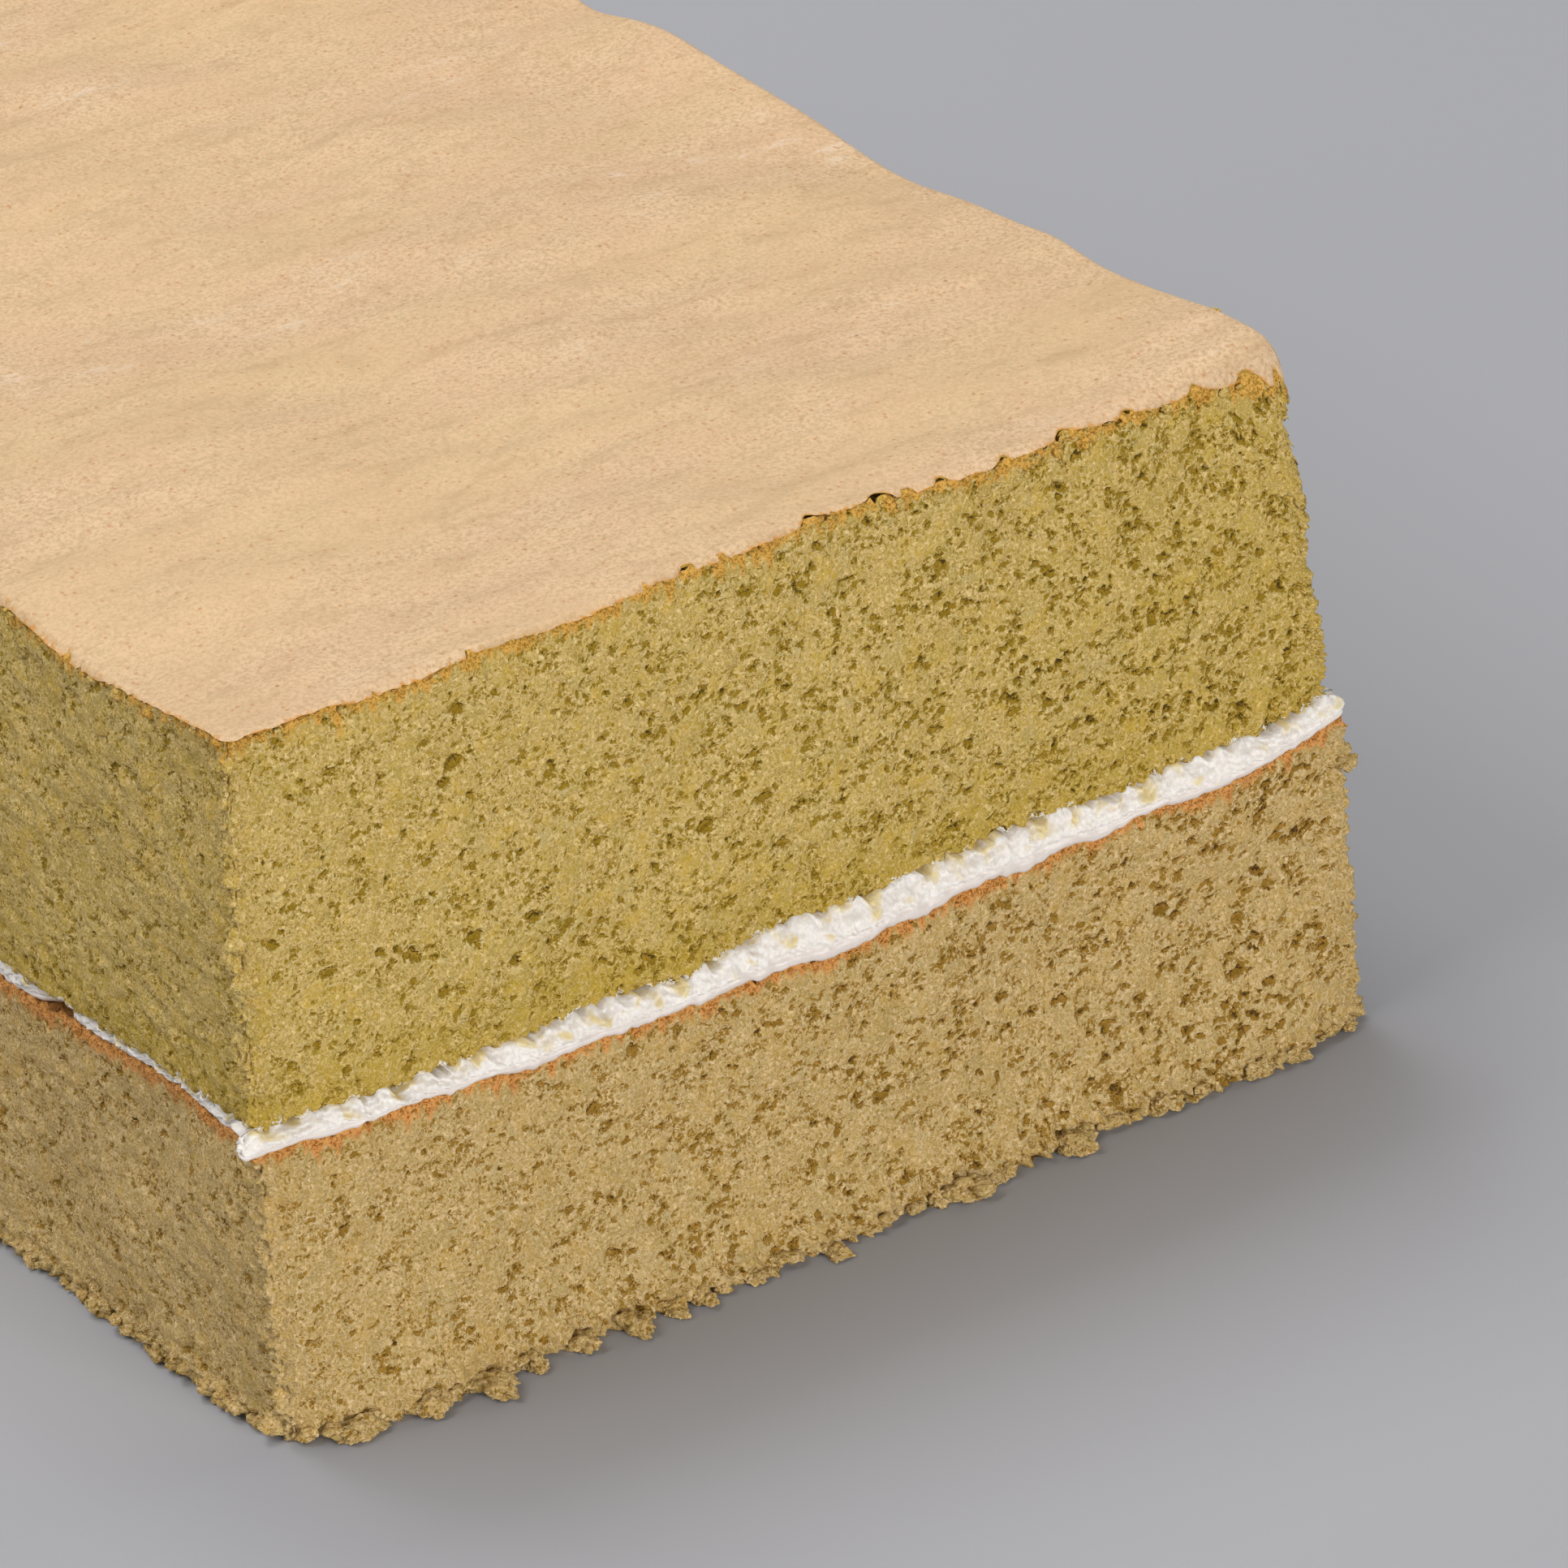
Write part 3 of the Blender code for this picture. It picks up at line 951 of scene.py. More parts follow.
class SharedEffects:
    """The effects that several finishes use, each built once as a shader group."""

    # The values of noise between which each of them comes in
    cell_walls: ClassVar[Pair] = (0.26, 0.03)
    grain_walls: ClassVar[Pair] = (0.32, 0.7)
    # Glints are painted highlights on the brightest walls
    glinting_walls: ClassVar[Pair] = (0.72, 1.0)
    blotch_span: ClassVar[Pair] = (0.3, 0.7)
    freckle_span: ClassVar[Pair] = (0.58, 0.72)
    # How far cells are drifted, in cells, and how fine grain and freckles are
    cell_drift: ClassVar[float] = 1.5
    grain_fineness: ClassVar[float] = 1.1
    freckle_fineness: ClassVar[float] = 4.7

    def __init__(self) -> None:
        """Builds the groups."""
        self.foam = self._foam()
        self.mottle = self._mottle()

    def _foam(self) -> bpy.types.NodeTree:
        """Fine open crumb: bright ragged walls between small cells.

        Returns:
            The group, which gives the walls and their glints, a painted highlight on the brightest
            walls.
        """
        tree = effect_group(
            "fine_crumb",
            (EffectSocket("Place", "NodeSocketVector"), EffectSocket("Cell Size", start=0.5 * MM)),
            (EffectSocket("Walls"), EffectSocket("Glints")),
        )
        bench = NodeBench(tree)
        given = bench.add("NodeGroupInput").outputs
        scale = bench.math("DIVIDE", 1.0, given["Cell Size"])
        drift = bench.noise(given["Place"], scale, 1.0, 0.5).outputs["Color"]
        links = {0: drift, 1: (-0.5, -0.5, -0.5)}
        drift = bench.add("VectorMath", links, operation="ADD").outputs[0]
        links = {0: drift, "Scale": bench.math("MULTIPLY", given["Cell Size"], self.cell_drift)}
        drift = bench.add("VectorMath", links, operation="SCALE").outputs[0]
        links = {0: given["Place"], 1: drift}
        place = bench.add("VectorMath", links, operation="ADD").outputs[0]
        cells = {"Vector": place, "Scale": scale}
        edge = bench.add("TexVoronoi", cells, feature="DISTANCE_TO_EDGE").outputs["Distance"]
        scale = bench.math("MULTIPLY", scale, self.grain_fineness)
        grain = bench.noise(place, scale, 3.0, 0.8).outputs[0]
        walls = bench.math("ADD", bench.ramp(edge, self.cell_walls, (0.0, 0.5)), -0.08)
        grainy = bench.ramp(grain, self.grain_walls, (0.0, 0.68))
        walls = bench.math("ADD", walls, grainy, clamp=True)
        glints = bench.ramp(walls, self.glinting_walls)
        bench.add("NodeGroupOutput", {"Walls": walls, "Glints": glints})
        return tree

    def _mottle(self) -> bpy.types.NodeTree:
        """Soft blotches of two sizes, about 0.5 on average.

        Returns:
            The group, which gives the blotches and the smaller freckles.
        """
        tree = effect_group(
            "soft_mottle",
            (EffectSocket("Place", "NodeSocketVector"), EffectSocket("Size", start=4.0 * MM)),
            (EffectSocket("Blotches"), EffectSocket("Freckles")),
        )
        bench = NodeBench(tree)
        given = bench.add("NodeGroupInput").outputs
        scale = bench.math("DIVIDE", 1.0, given["Size"])
        large = bench.noise(given["Place"], scale, 3.0, 0.5).outputs[0]
        scale = bench.math("MULTIPLY", scale, self.freckle_fineness)
        small = bench.noise(given["Place"], scale, 2.0, 0.5).outputs[0]
        blotches = bench.ramp(large, self.blotch_span)
        freckles = bench.ramp(small, self.freckle_span)
        bench.add("NodeGroupOutput", {"Blotches": blotches, "Freckles": freckles})
        return tree


def new_material(name: str) -> tuple[bpy.types.Material, NodeBench, bpy.types.Node]:
    """Makes a material that is still to be filled in.

    Args:
        name: the material's name.

    Returns:
        The material, its bench and its shader.
    """
    material = bpy.data.materials.new(name)
    material.use_nodes = True
    shader = material.node_tree.nodes["Principled BSDF"]
    return material, NodeBench(material.node_tree), shader


@dataclass(frozen=True)
class CrumbFinish:
    """The cut crumb of a sponge layer, browned where it was baked."""

    name: str
    wall: Colour
    body: Colour
    # glint is a painted highlight colour; hole is painted shade in the holes in the crumb's warm
    # hue, deep darker painted shade under their roofs
    glint: Colour
    hole: Colour
    deep: Colour
    gold: Colour
    olive: Colour
    moist: Colour
    dry: Colour
    baked_light: Colour
    baked_dark: Colour
    cream: Colour = (0.78, 0.72, 0.62)
    cell_size: float = 0.52 * MM
    patches: Cloud = Cloud(3.4 * MM, 4.0, 0.65)
    mottle_size: float = 6.0 * MM
    bump_depth: float = 0.11 * MM
    gold_patches: Patch = Patch(0.5, 0.66, 0.55)
    dry_patches: Patch = Patch(0.54, 0.7, 0.4)
    olive_patches: Patch = Patch(0.48, 0.66, 0.4)
    freckle_share: float = 0.4
    glint_share: float = 0.5
    # How far crevices and walls push the edges of the painted shade of holes, of the baked line and
    # of smears about; crevices so get painted shade too
    crevices: Pair = (0.22, -0.2)
    ragged: Pair = (-0.35, 0.35)
    # How strongly crevices and walls are stained where the crumb is moist
    wet: Pair = (0.8, 0.35)
    # Where the painted shade of the holes and of their roofs comes in
    holes: Patch = Patch(0.15, 0.55)
    shadows: Patch = Patch(0.35, 0.75)
    baked: Patch = Patch(0.1, 0.95)
    baked_walls: Pair = (0.25, 0.62)
    smears: Patch = Patch(0.5, 0.8)
    roughness: Pair = (0.95, 0.78)
    sheen: float = 0.3

    def made(self, effects: SharedEffects) -> bpy.types.Material:
        """Builds the finish.

        Args:
            effects: the shared effects.

        Returns:
            The material.
        """
        material, bench, shader = new_material(self.name)
        place = bench.place()
        links = {"Place": place, "Cell Size": self.cell_size}
        walls, glints = bench.add("Group", links, node_tree=effects.foam).outputs
        links = {"Place": place, "Size": self.mottle_size}
        mottle = bench.add("Group", links, node_tree=effects.mottle).outputs
        patches = bench.cloudy(place, self.patches, "Color")
        golden, dry, green = bench.add("SeparateColor", {0: patches}).outputs
        # Crevices between the walls get painted shade through the holes' masks
        crevices = bench.ramp(walls, (0.0, 1.0), self.crevices)
        ragged = bench.ramp(walls, (0.1, 0.9), self.ragged)
        pushes = {"pore": crevices, "shade": crevices, "baked": ragged, "smear": ragged}
        pore, shade, baked, smear = (
            bench.math("ADD", bench.value(title), push) for title, push in pushes.items()
        )
        wet = bench.ramp(walls, (0.2, 1.0), self.wet)
        wet = bench.math("MULTIPLY", bench.value("moist"), wet)
        # Light walls and darker cells between them: the crumb's own grain, and partly painted shade
        # in the cells
        colour = bench.mix(walls, self.body, self.wall)
        colour = bench.laid(colour, golden, self.gold_patches, self.gold)
        colour = bench.laid(colour, dry, self.dry_patches, self.dry)
        colour = bench.laid(colour, green, self.olive_patches, self.olive)
        colour = bench.tinted(colour, mottle["Freckles"], self.freckle_share, self.gold)
        # Painted highlights: glints on the brightest walls and a ring below each hole
        colour = bench.tinted(colour, glints, self.glint_share, self.glint)
        colour = bench.tinted(colour, bench.value("lip"), self.glint_share, self.glint)
        colour = bench.mix(wet, colour, self.moist)
        # Painted shade: in the holes, and darker under their roofs
        colour = bench.laid(colour, pore, self.holes, self.hole)
        colour = bench.laid(colour, shade, self.shadows, self.deep)
        browned = bench.mix(bench.ramp(walls, self.baked_walls), self.baked_dark, self.baked_light)
        colour = bench.laid(colour, baked, self.baked, browned)
        colour = bench.laid(colour, smear, self.smears, self.cream)
        surface = {
            "Base Color": colour,
            "Roughness": bench.ramp(walls, (0.0, 1.0), self.roughness),
            "Normal": bench.bump(walls, self.bump_depth),
            "Specular IOR Level": self.sheen,
        }
        bench.feed(shader, surface)
        return material


@dataclass(frozen=True)
class SkinFinish:
    """The thin baked skin of the top: tan, matt, finely grained, browner at its torn rim."""

    name: str = "baked_top_skin"
    pale: Colour = (0.69, 0.485, 0.295)
    tan: Colour = (0.45, 0.295, 0.155)
    peach: Colour = (0.61, 0.385, 0.225)
    wheat: Colour = (0.62, 0.43, 0.21)
    chalk: Colour = (0.72, 0.58, 0.43)
    orange: Colour = (0.48, 0.22, 0.075)
    fleck: Colour = (0.30, 0.13, 0.03)
    rim: Colour = (0.58, 0.27, 0.06)
    olive: Colour = (0.36, 0.22, 0.03)
    grain: Cloud = Cloud(0.5 * MM, 4.0, 0.8)
    parchment: Cloud = Cloud(1.6 * MM, 3.0, 0.6)
    streaks: Cloud = Cloud(3.2 * MM, 4.0, 0.65)
    clouds: Cloud = Cloud(21.0 * MM, 2.0, 0.5)
    frays: Cloud = Cloud(0.9 * MM, 3.0, 0.7)
    mottle_size: float = 11.0 * MM
    streak_drawn: Point = (0.4, 1.0, 1.0)
    bump_depth: float = 0.05 * MM
    grain_walls: Pair = (0.32, 0.62)
    peach_share: float = 0.3
    wheat_patches: Patch = Patch(0.42, 0.68, 0.35)
    tan_streaks: Patch = Patch(0.48, 0.72, 0.45)
    chalk_streaks: Pair = (0.44, 0.3)
    chalk_clouds: Pair = (0.5, 0.36)
    chalk_share: float = 0.6
    # Dots of two sizes: their cells' size, and from what lot a cell has one
    small_dots: Pair = (1.0 * MM, 0.7)
    large_dots: Pair = (2.8 * MM, 0.86)
    dot_edge: Pair = (0.3 * MM, 0.12 * MM)
    dot_share: float = 0.65
    fray: float = 0.3
    bare_fray: float = 0.25
    torn_rim: Patch = Patch(0.35, 0.8)
    bare_rim: Patch = Patch(0.45, 0.75)
    grain_height: float = 0.55
    roughness: Pair = (0.62, 0.82)
    sheen: float = 0.3
    glow: float = 0.12
    glow_depth: float = 0.8 * MM
    glow_colour: Colour = (1.0, 0.6, 0.3)

    def made(self, effects: SharedEffects) -> bpy.types.Material:
        """Builds the finish.

        Args:
            effects: the shared effects.

        Returns:
            The material.
        """
        material, bench, shader = new_material(self.name)
        place = bench.place()
        links = {"Place": place, "Size": self.mottle_size}
        mottle = bench.add("Group", links, node_tree=effects.mottle).outputs
        grain, parchment = bench.cloudy(place, self.grain), bench.cloudy(place, self.parchment)
        drawn = bench.add("Mapping", {"Vector": place, "Scale": self.streak_drawn}).outputs[0]
        streaks, clouds = bench.cloudy(drawn, self.streaks), bench.cloudy(drawn, self.clouds)
        colour = bench.mix(bench.ramp(grain, self.grain_walls), self.tan, self.pale)
        colour = bench.tinted(colour, mottle["Blotches"], self.peach_share, self.peach)
        colour = bench.laid(colour, clouds, self.wheat_patches, self.wheat)
        colour = bench.laid(colour, streaks, self.tan_streaks, self.tan)
        chalky = bench.ramp(streaks, self.chalk_streaks), bench.ramp(clouds, self.chalk_clouds)
        chalky = bench.math("MULTIPLY", *chalky)
        colour = bench.tinted(colour, chalky, self.chalk_share, self.chalk)
        for (size, lot), tone in ((self.small_dots, self.orange), (self.large_dots, self.fleck)):
            dots = bench.add("TexVoronoi", {"Vector": place, "Scale": 1 / size}).outputs
            drawn_lot = bench.add("SeparateColor", {0: dots["Color"]}).outputs[0]
            chosen = bench.math("GREATER_THAN", drawn_lot, lot)
            edge = self.dot_edge[0] / size, self.dot_edge[1] / size
            spot = bench.math("MULTIPLY", bench.ramp(dots["Distance"], edge), chosen)
            colour = bench.tinted(colour, spot, self.dot_share, tone)
        frayed = bench.ramp(bench.cloudy(place, self.frays), (0.3, 0.7), (-self.fray, self.fray))
        torn = bench.math("ADD", bench.value("rim"), frayed)
        colour = bench.laid(colour, torn, self.torn_rim, self.rim)
        frayed = bench.ramp(grain, (0.3, 0.7), (-self.bare_fray, self.bare_fray))
        bare = bench.math("ADD", bench.value("bare"), frayed)
        colour = bench.laid(colour, bare, self.bare_rim, self.olive)
        height = bench.math("ADD", bench.math("MULTIPLY", grain, self.grain_height), parchment)
        surface = {
            "Base Color": colour,
            "Roughness": bench.ramp(grain, (0.3, 0.7), self.roughness),
            "Normal": bench.bump(height, self.bump_depth),
            "Specular IOR Level": self.sheen,
            "Subsurface Weight": self.glow,
            "Subsurface Scale": self.glow_depth,
            "Subsurface Radius": self.glow_colour,
        }
        bench.feed(shader, surface)
        return material


@dataclass(frozen=True)
class CreamFinish:
    """Off-white whipped cream, matt where the knife dragged it and smoother along its foot."""

    name: str = "whipped_cream"
    bright: Colour = (0.84, 0.805, 0.75)
    shade: Colour = (0.74, 0.675, 0.62)
    strip: Colour = (0.67, 0.59, 0.545)
    stained: Colour = (0.68, 0.52, 0.17)
    grain: Cloud = Cloud(0.45 * MM, 3.0, 0.6)
    mottle_size: float = 3.0 * MM
    bump_depth: float = 0.10 * MM
    bump_strength: float = 0.8
    strip_share: float = 0.7
    stain_share: float = 0.75
    roughness: Pair = (0.6, 0.32)
    glow: float = 0.35
    glow_depth: float = 1.2 * MM
    glow_colour: Colour = (1.0, 0.85, 0.65)

    def made(self, effects: SharedEffects) -> bpy.types.Material:
        """Builds the finish.

        Args:
            effects: the shared effects.

        Returns:
            The material.
        """
        material, bench, shader = new_material(self.name)
        place = bench.place()
        links = {"Place": place, "Size": self.mottle_size}
        mottle = bench.add("Group", links, node_tree=effects.mottle).outputs
        grain, smooth = bench.cloudy(place, self.grain), bench.value("smooth")
        colour = bench.mix(bench.ramp(grain, (0.3, 0.7)), self.shade, self.bright)
        colour = bench.tinted(colour, smooth, self.strip_share, self.strip)
        blotches = bench.ramp(mottle["Blotches"], (0.35, 0.8))
        stain = bench.math("MULTIPLY", bench.value("stain"), blotches)
        colour = bench.tinted(colour, stain, self.stain_share, self.stained)
        surface = {
            "Base Color": colour,
            "Roughness": bench.ramp(smooth, (0.0, 1.0), self.roughness),
            "Normal": bench.bump(grain, self.bump_depth, self.bump_strength),
            "Subsurface Weight": self.glow,
            "Subsurface Scale": self.glow_depth,
            "Subsurface Radius": self.glow_colour,
        }
        bench.feed(shader, surface)
        return material


@dataclass(frozen=True)
class SeamLine:
    """How the foot of the cream, and the top of the sponge below it, run up and down."""

    walk: WallWalk
    seed: int = 303
    map_height: float = 8.0 * MM
    swing: float = 0.2 * MM
    swing_band: Pair = (6.0 * MM, 22.0 * MM)
    swing_cell: float = 0.5 * MM
    nick: float = 0.09 * MM
    nick_band: Pair = (1.2 * MM, 4.0 * MM)
    nick_cell: float = 0.3 * MM

    def at(self, along: Array) -> Array:
        """The line's rise.

        Args:
            along: places along the walk.

        Returns:
            How far up the line is there.
        """
        size = self.walk.length, self.map_height
        swings = NoiseMap.made(size, self.swing_cell, self.swing_band, self.seed)
        nicks = NoiseMap.made(size, self.nick_cell, self.nick_band, self.seed + 1)
        return self.swing * swings.at(along, 0.0) + self.nick * nicks.at(along, 0.0)


@dataclass
class SpongeWalls:
    """The four cut sides of a sponge layer: open crumb, a baked line, and lips turned inwards."""

    form: CakeForm
    walk: WallWalk
    layer: Layer
    pores: tuple[OpenPores, ...]
    bubbles: tuple[Bubbles, ...]
    seed: int
    prefix: str
    slot: str
    row_steps: SideSizes = SideSizes(0.25 * MM, 0.60 * MM, 0.60 * MM, 0.34 * MM)
    openness: SideSizes = SideSizes(1.0, 1.0, 1.0, 0.95)
    calm_left: float = 0.22
    open_right: float = 0.25
    edge_radius: float = 0.5 * MM
    rim_reach: float = 1.2 * MM
    baked_depth: float = 0.7 * MM
    baked_wander: float = 0.5 * MM
    smear_height: float = 0.0
    moist_height: float = 9.0 * MM
    moist_wander: float = 1.5 * MM
    moist_right: float = 0.35
    torn_relief: float = 0.10 * MM
    fine_relief: float = 0.05 * MM
    corner_relief: float = 0.3 * MM
    corner_reach: float = 2.2 * MM
    foot_relief: float = 0.0
    foot_height: float = 2.6 * MM
    foot_clearance: float = 0.02 * MM
    edge_wander: float = 0.3 * MM
    edge_clearance: float = 0.6
    edge_power: int = 6
    lip_drop: float = 0.3 * MM
    # The rows of a lip: how far in and how far down each one is
    lip_in: ClassVar[tuple[float, ...]] = (4.0 * MM, 2.2 * MM, 1.1 * MM)
    lip_down: ClassVar[tuple[float, ...]] = (0.5 * MM, 0.35 * MM, 0.15 * MM)
    map_cell: ClassVar[float] = 0.2 * MM
    torn_band: ClassVar[Pair] = (2.2 * MM, 7.0 * MM)
    fine_band: ClassVar[Pair] = (0.6 * MM, 1.8 * MM)
    wander_band: ClassVar[Pair] = (1.0 * MM, 6.0 * MM)
    # Shares of the height at which the wander of the lower edge, baked line and upper edge is read
    wander_levels: ClassVar[Point] = (0.3, 0.5, 0.8)

    def _rows(self, height: float, step: float) -> tuple[Array, Array, Array]:
        """The rows from the lower lip up the side to the upper lip.

        Args:
            height: the layer's height.
            step: how far apart the rows are.

        Returns:
            For each row its share of the height, how far in it is and how far it is moved up.
        """
        t = np.linspace(0, 1, int(round(height / step)) + 1)
        to_edge = np.minimum(t, 1 - t) * height
        into = np.clip(1 - to_edge / self.edge_radius, 0, 1)
        inset = self.edge_radius * (1 - np.sqrt(1 - into**2))
        lip, drop = np.array(self.lip_in), np.array(self.lip_down)
        shares = np.concatenate((np.zeros(len(lip)), t, np.ones(len(lip))))
        insets = np.concatenate((lip, inset, lip[::-1]))
        lifts = np.concatenate((drop, np.zeros(len(t)), -drop[::-1]))
        return shares, insets, lifts

    def build(self, material: bpy.types.Material) -> list[bpy.types.Object]:
        """Makes the four sides.

        Args:
            material: the crumb's finish.

        Returns:
            The pieces, one for each side.
        """
        u, v = np.zeros(1), np.full(1, -1.0)
        top, foot = (self.form.placed(self.layer, u, v, np.full(1, t)) for t in (1.0, 0.0))
        height = float(top[0, 2] - foot[0, 2])
        size = (self.walk.length, height)
        crumb = CrumbMap.made(size, self.pores, self.bubbles, self.seed)
        torn, fine, wander = (
            NoiseMap.made(size, self.map_cell, band, self.seed + number)
            for number, band in enumerate((self.torn_band, self.fine_band, self.wander_band), 11)
        )
        return [self._side(side, height, crumb, (torn, fine, wander), material) for side in Side]

    def _side(
        self,
        side: Side,
        height: float,
        crumb: CrumbMap,
        maps: tuple[NoiseMap, NoiseMap, NoiseMap],
        material: bpy.types.Material,
    ) -> bpy.types.Object:
        """Makes one side.

        Args:
            side: which side.
            height: the layer's height.
            crumb: the layer's pores.
            maps: its torn, fine and wandering unevenness.
            material: the crumb's finish.

        Returns:
            The piece.
        """
        form, walk = self.form, self.walk
        torn_map, fine_map, wander = maps
        columns = walk.columns(side)
        rows, inset, lift = self._rows(height, self.row_steps.at(side))
        inset, lift = inset[:, None], lift[:, None]
        shape = (len(rows), len(columns))
        t = np.broadcast_to(rows[:, None], shape)
        lines = walk.u, walk.v, walk.along
        u, v, along = (np.broadcast_to(line[columns], shape) for line in lines)
        points, up = form.placed(self.layer, u, v, t), t * height
        torn, fine = torn_map.at(along, up), fine_map.at(along, up)
        low_wander, baked_wander, high_wander = (
            wander.at(along, height * level) for level in self.wander_levels
        )
        on_side = smooth_step(1 - inset / self.rim_reach)
        corners = [*walk.along[list(walk.starts[:-1])], walk.length]
        to_corner = np.min([abs(along - corner) for corner in corners], axis=0)
        near_corner = np.exp(-((to_corner / self.corner_reach) ** 2))
        across = points[..., 0] / form.half_width
        to_left, to_right = 1 - smooth_step(across, -1.0, 0.2), smooth_step(across, 0.1, 1.0)
        opened = self.openness.at(side) * on_side * (1 - 0.6 * near_corner)
        opened = opened * (1 - self.calm_left * to_left + self.open_right * to_right)
        baked_to = self.baked_depth + self.baked_wander * baked_wander
        baked_end = 1.45 * np.maximum(baked_to, 0.1 * MM)
        baked = 1 - smooth_step((1 - t) * height, 0.55 * baked_to, baked_end)
        baked = baked * (0.75 + 0.25 * on_side)
        out = self.torn_relief * torn + self.fine_relief * fine * (1 + 0.6 * baked)
        out += self.corner_relief * near_corner * (0.6 * torn + 0.7 * fine)
        out += self.foot_relief * np.exp(-((up / self.foot_height) ** 2)) * wander.at(along, up)
        out = (out - opened * crumb.depth.at(along, up)) * on_side - inset
        points[..., :2] += walk.normal[columns] * out[..., None]
        at_top, at_bottom = t**self.edge_power, (1 - t) ** self.edge_power
        if self.layer is Layer.UPPER:
            high_wander = np.minimum(high_wander, 0.0) - self.edge_clearance
        shift = self.edge_wander * at_top * high_wander
        if self.layer is Layer.LOWER:
            shift += at_top * SeamLine(walk).at(along)
        else:
            shift += self.edge_wander * at_bottom * low_wander
        lip_shift = np.minimum(shift - self.lip_drop, 0.0)
        shift = np.where(inset > self.edge_radius, lip_shift, np.minimum(shift, self.edge_wander))
        x, y = points[..., 0], points[..., 1]
        points[..., 2] = form.height_within(self.layer, x, y, t) + shift + lift
        smear, moist = np.zeros(shape), np.zeros(shape)
        if self.layer is Layer.LOWER:
            points[..., 2] = np.maximum(points[..., 2], self.foot_clearance)
        if self.smear_height:
            smear = 1 - smooth_step(up, 0.2 * self.smear_height, self.smear_height)
            smear = smear * smooth_step(torn + 0.6 * fine, -0.4, 1.6)
        if self.layer is Layer.UPPER:
            moist = 1 - smooth_step(up + self.moist_wander * torn, 0.5 * MM, self.moist_height)
            at_right = smooth_step(points[..., 0] / form.half_width, 0.2, 1.0)
            moist = np.maximum(moist, self.moist_right * at_right)
        values = {"baked": baked, "smear": smear, "moist": moist}
        # The holes' painted shade and the painted highlights below them, scaled by how open the
        # side is
        for title, pores in (("pore", crumb.pore), ("shade", crumb.shade), ("lip", crumb.lip)):
            values[title] = pores.at(along, up) * opened
        piece = grid_object(f"{self.prefix}_{side.name.lower()}", points, values, material)
        return dressed(piece, self.slot, self.layer.value)


@dataclass
class CreamSeam:
    """The seam of cream: lumpy and ridged above, with a smooth strip along its foot."""

    form: CakeForm
    walk: WallWalk
    seed: int = 71
    row_count: int = 22
    lip: float = 3.0 * MM
    bulge: float = 0.3 * MM
    ridge: float = 0.18 * MM
    ridge_band: Pair = (0.7 * MM, 2.2 * MM)
    ridge_stretch: float = 0.5
    ridge_cell: float = 0.16 * MM
    lump: float = 0.15 * MM
    lump_band: Pair = (2.0 * MM, 6.0 * MM)
    lump_cell: float = 0.3 * MM
    map_height: float = 8.0 * MM
    band_height: float = 4.0 * MM
    strip_share: float = 0.24
    crease: float = 0.35 * MM
    crease_width: float = 0.06
    # The upper edge's rise is read from the two maps above the band
    rise_levels: Pair = (6.0 * MM, 5.0 * MM)
    rise_ridges: float = 0.25
    top_wander: float = 0.6 * MM
    top_tuck: SideSizes = SideSizes(0.85 * MM, 0.9 * MM, 0.3 * MM, 0.0)
    corner_squeeze: float = 3.0 * MM
    corner_reach: float = 4.0 * MM

    def build(self, material: bpy.types.Material) -> bpy.types.Object:
        """Makes the seam as one band round the block.

        Args:
            material: the cream's finish.

        Returns:
            The piece.
        """
        form, walk = self.form, self.walk
        rows = np.concatenate(([0.0], np.linspace(0, 1, self.row_count), [1.0]))
        inset = np.zeros((len(rows), 1))
        inset[[0, -1]] = self.lip
        columns = walk.whole()
        shape = (len(rows), len(columns))
        t = np.broadcast_to(rows[:, None], shape)
        lines = walk.u, walk.v, walk.along
        u, v, along = (np.broadcast_to(line[columns], shape) for line in lines)
        points = form.placed(Layer.CREAM, u, v, t)
        size, up = (walk.length, self.map_height), t * self.band_height
        ridges = NoiseMap.made(
            size, self.ridge_cell, self.ridge_band, self.seed, self.ridge_stretch
        )
        lumps = NoiseMap.made(size, self.lump_cell, self.lump_band, self.seed + 1)
        in_strip = 1 - smooth_step(t, self.strip_share * 0.8, self.strip_share * 1.6)
        tucked = walk.by_side(self.top_tuck)[columns] * smooth_step(t, 0.45, 1.0)
        crease = np.exp(-(((t - self.strip_share * 1.25) / self.crease_width) ** 2))
        out = self.bulge * (1 - (2 * t - 1) ** 4) - tucked - self.crease * crease - inset
        out += (1 - in_strip) * self.ridge * ridges.at(along, up)
        out += self.lump * lumps.at(along, up) * (1 - 0.6 * in_strip)
        points[..., :2] += walk.normal[columns] * out[..., None]
        to_corner = np.minimum(along, walk.length - along)
        points[..., 0] -= self.corner_squeeze * np.exp(-((to_corner / self.corner_reach) ** 2))
        lump_level, ridge_level = self.rise_levels
        rise = lumps.at(along, lump_level) + self.rise_ridges * ridges.at(along, ridge_level)
        points[..., 2] += self.top_wander * t**2 * np.tanh(0.7 * rise)
        points[..., 2] += (1 - t) ** 2 * SeamLine(walk).at(along)
        stain = smooth_step(t + 0.22 * lumps.at(along, up), 0.55, 1.1)
        piece = grid_object("cream_seam", points, {"stain": stain, "smooth": in_strip}, material)
        return dressed(piece, "cream", Layer.CREAM.value)


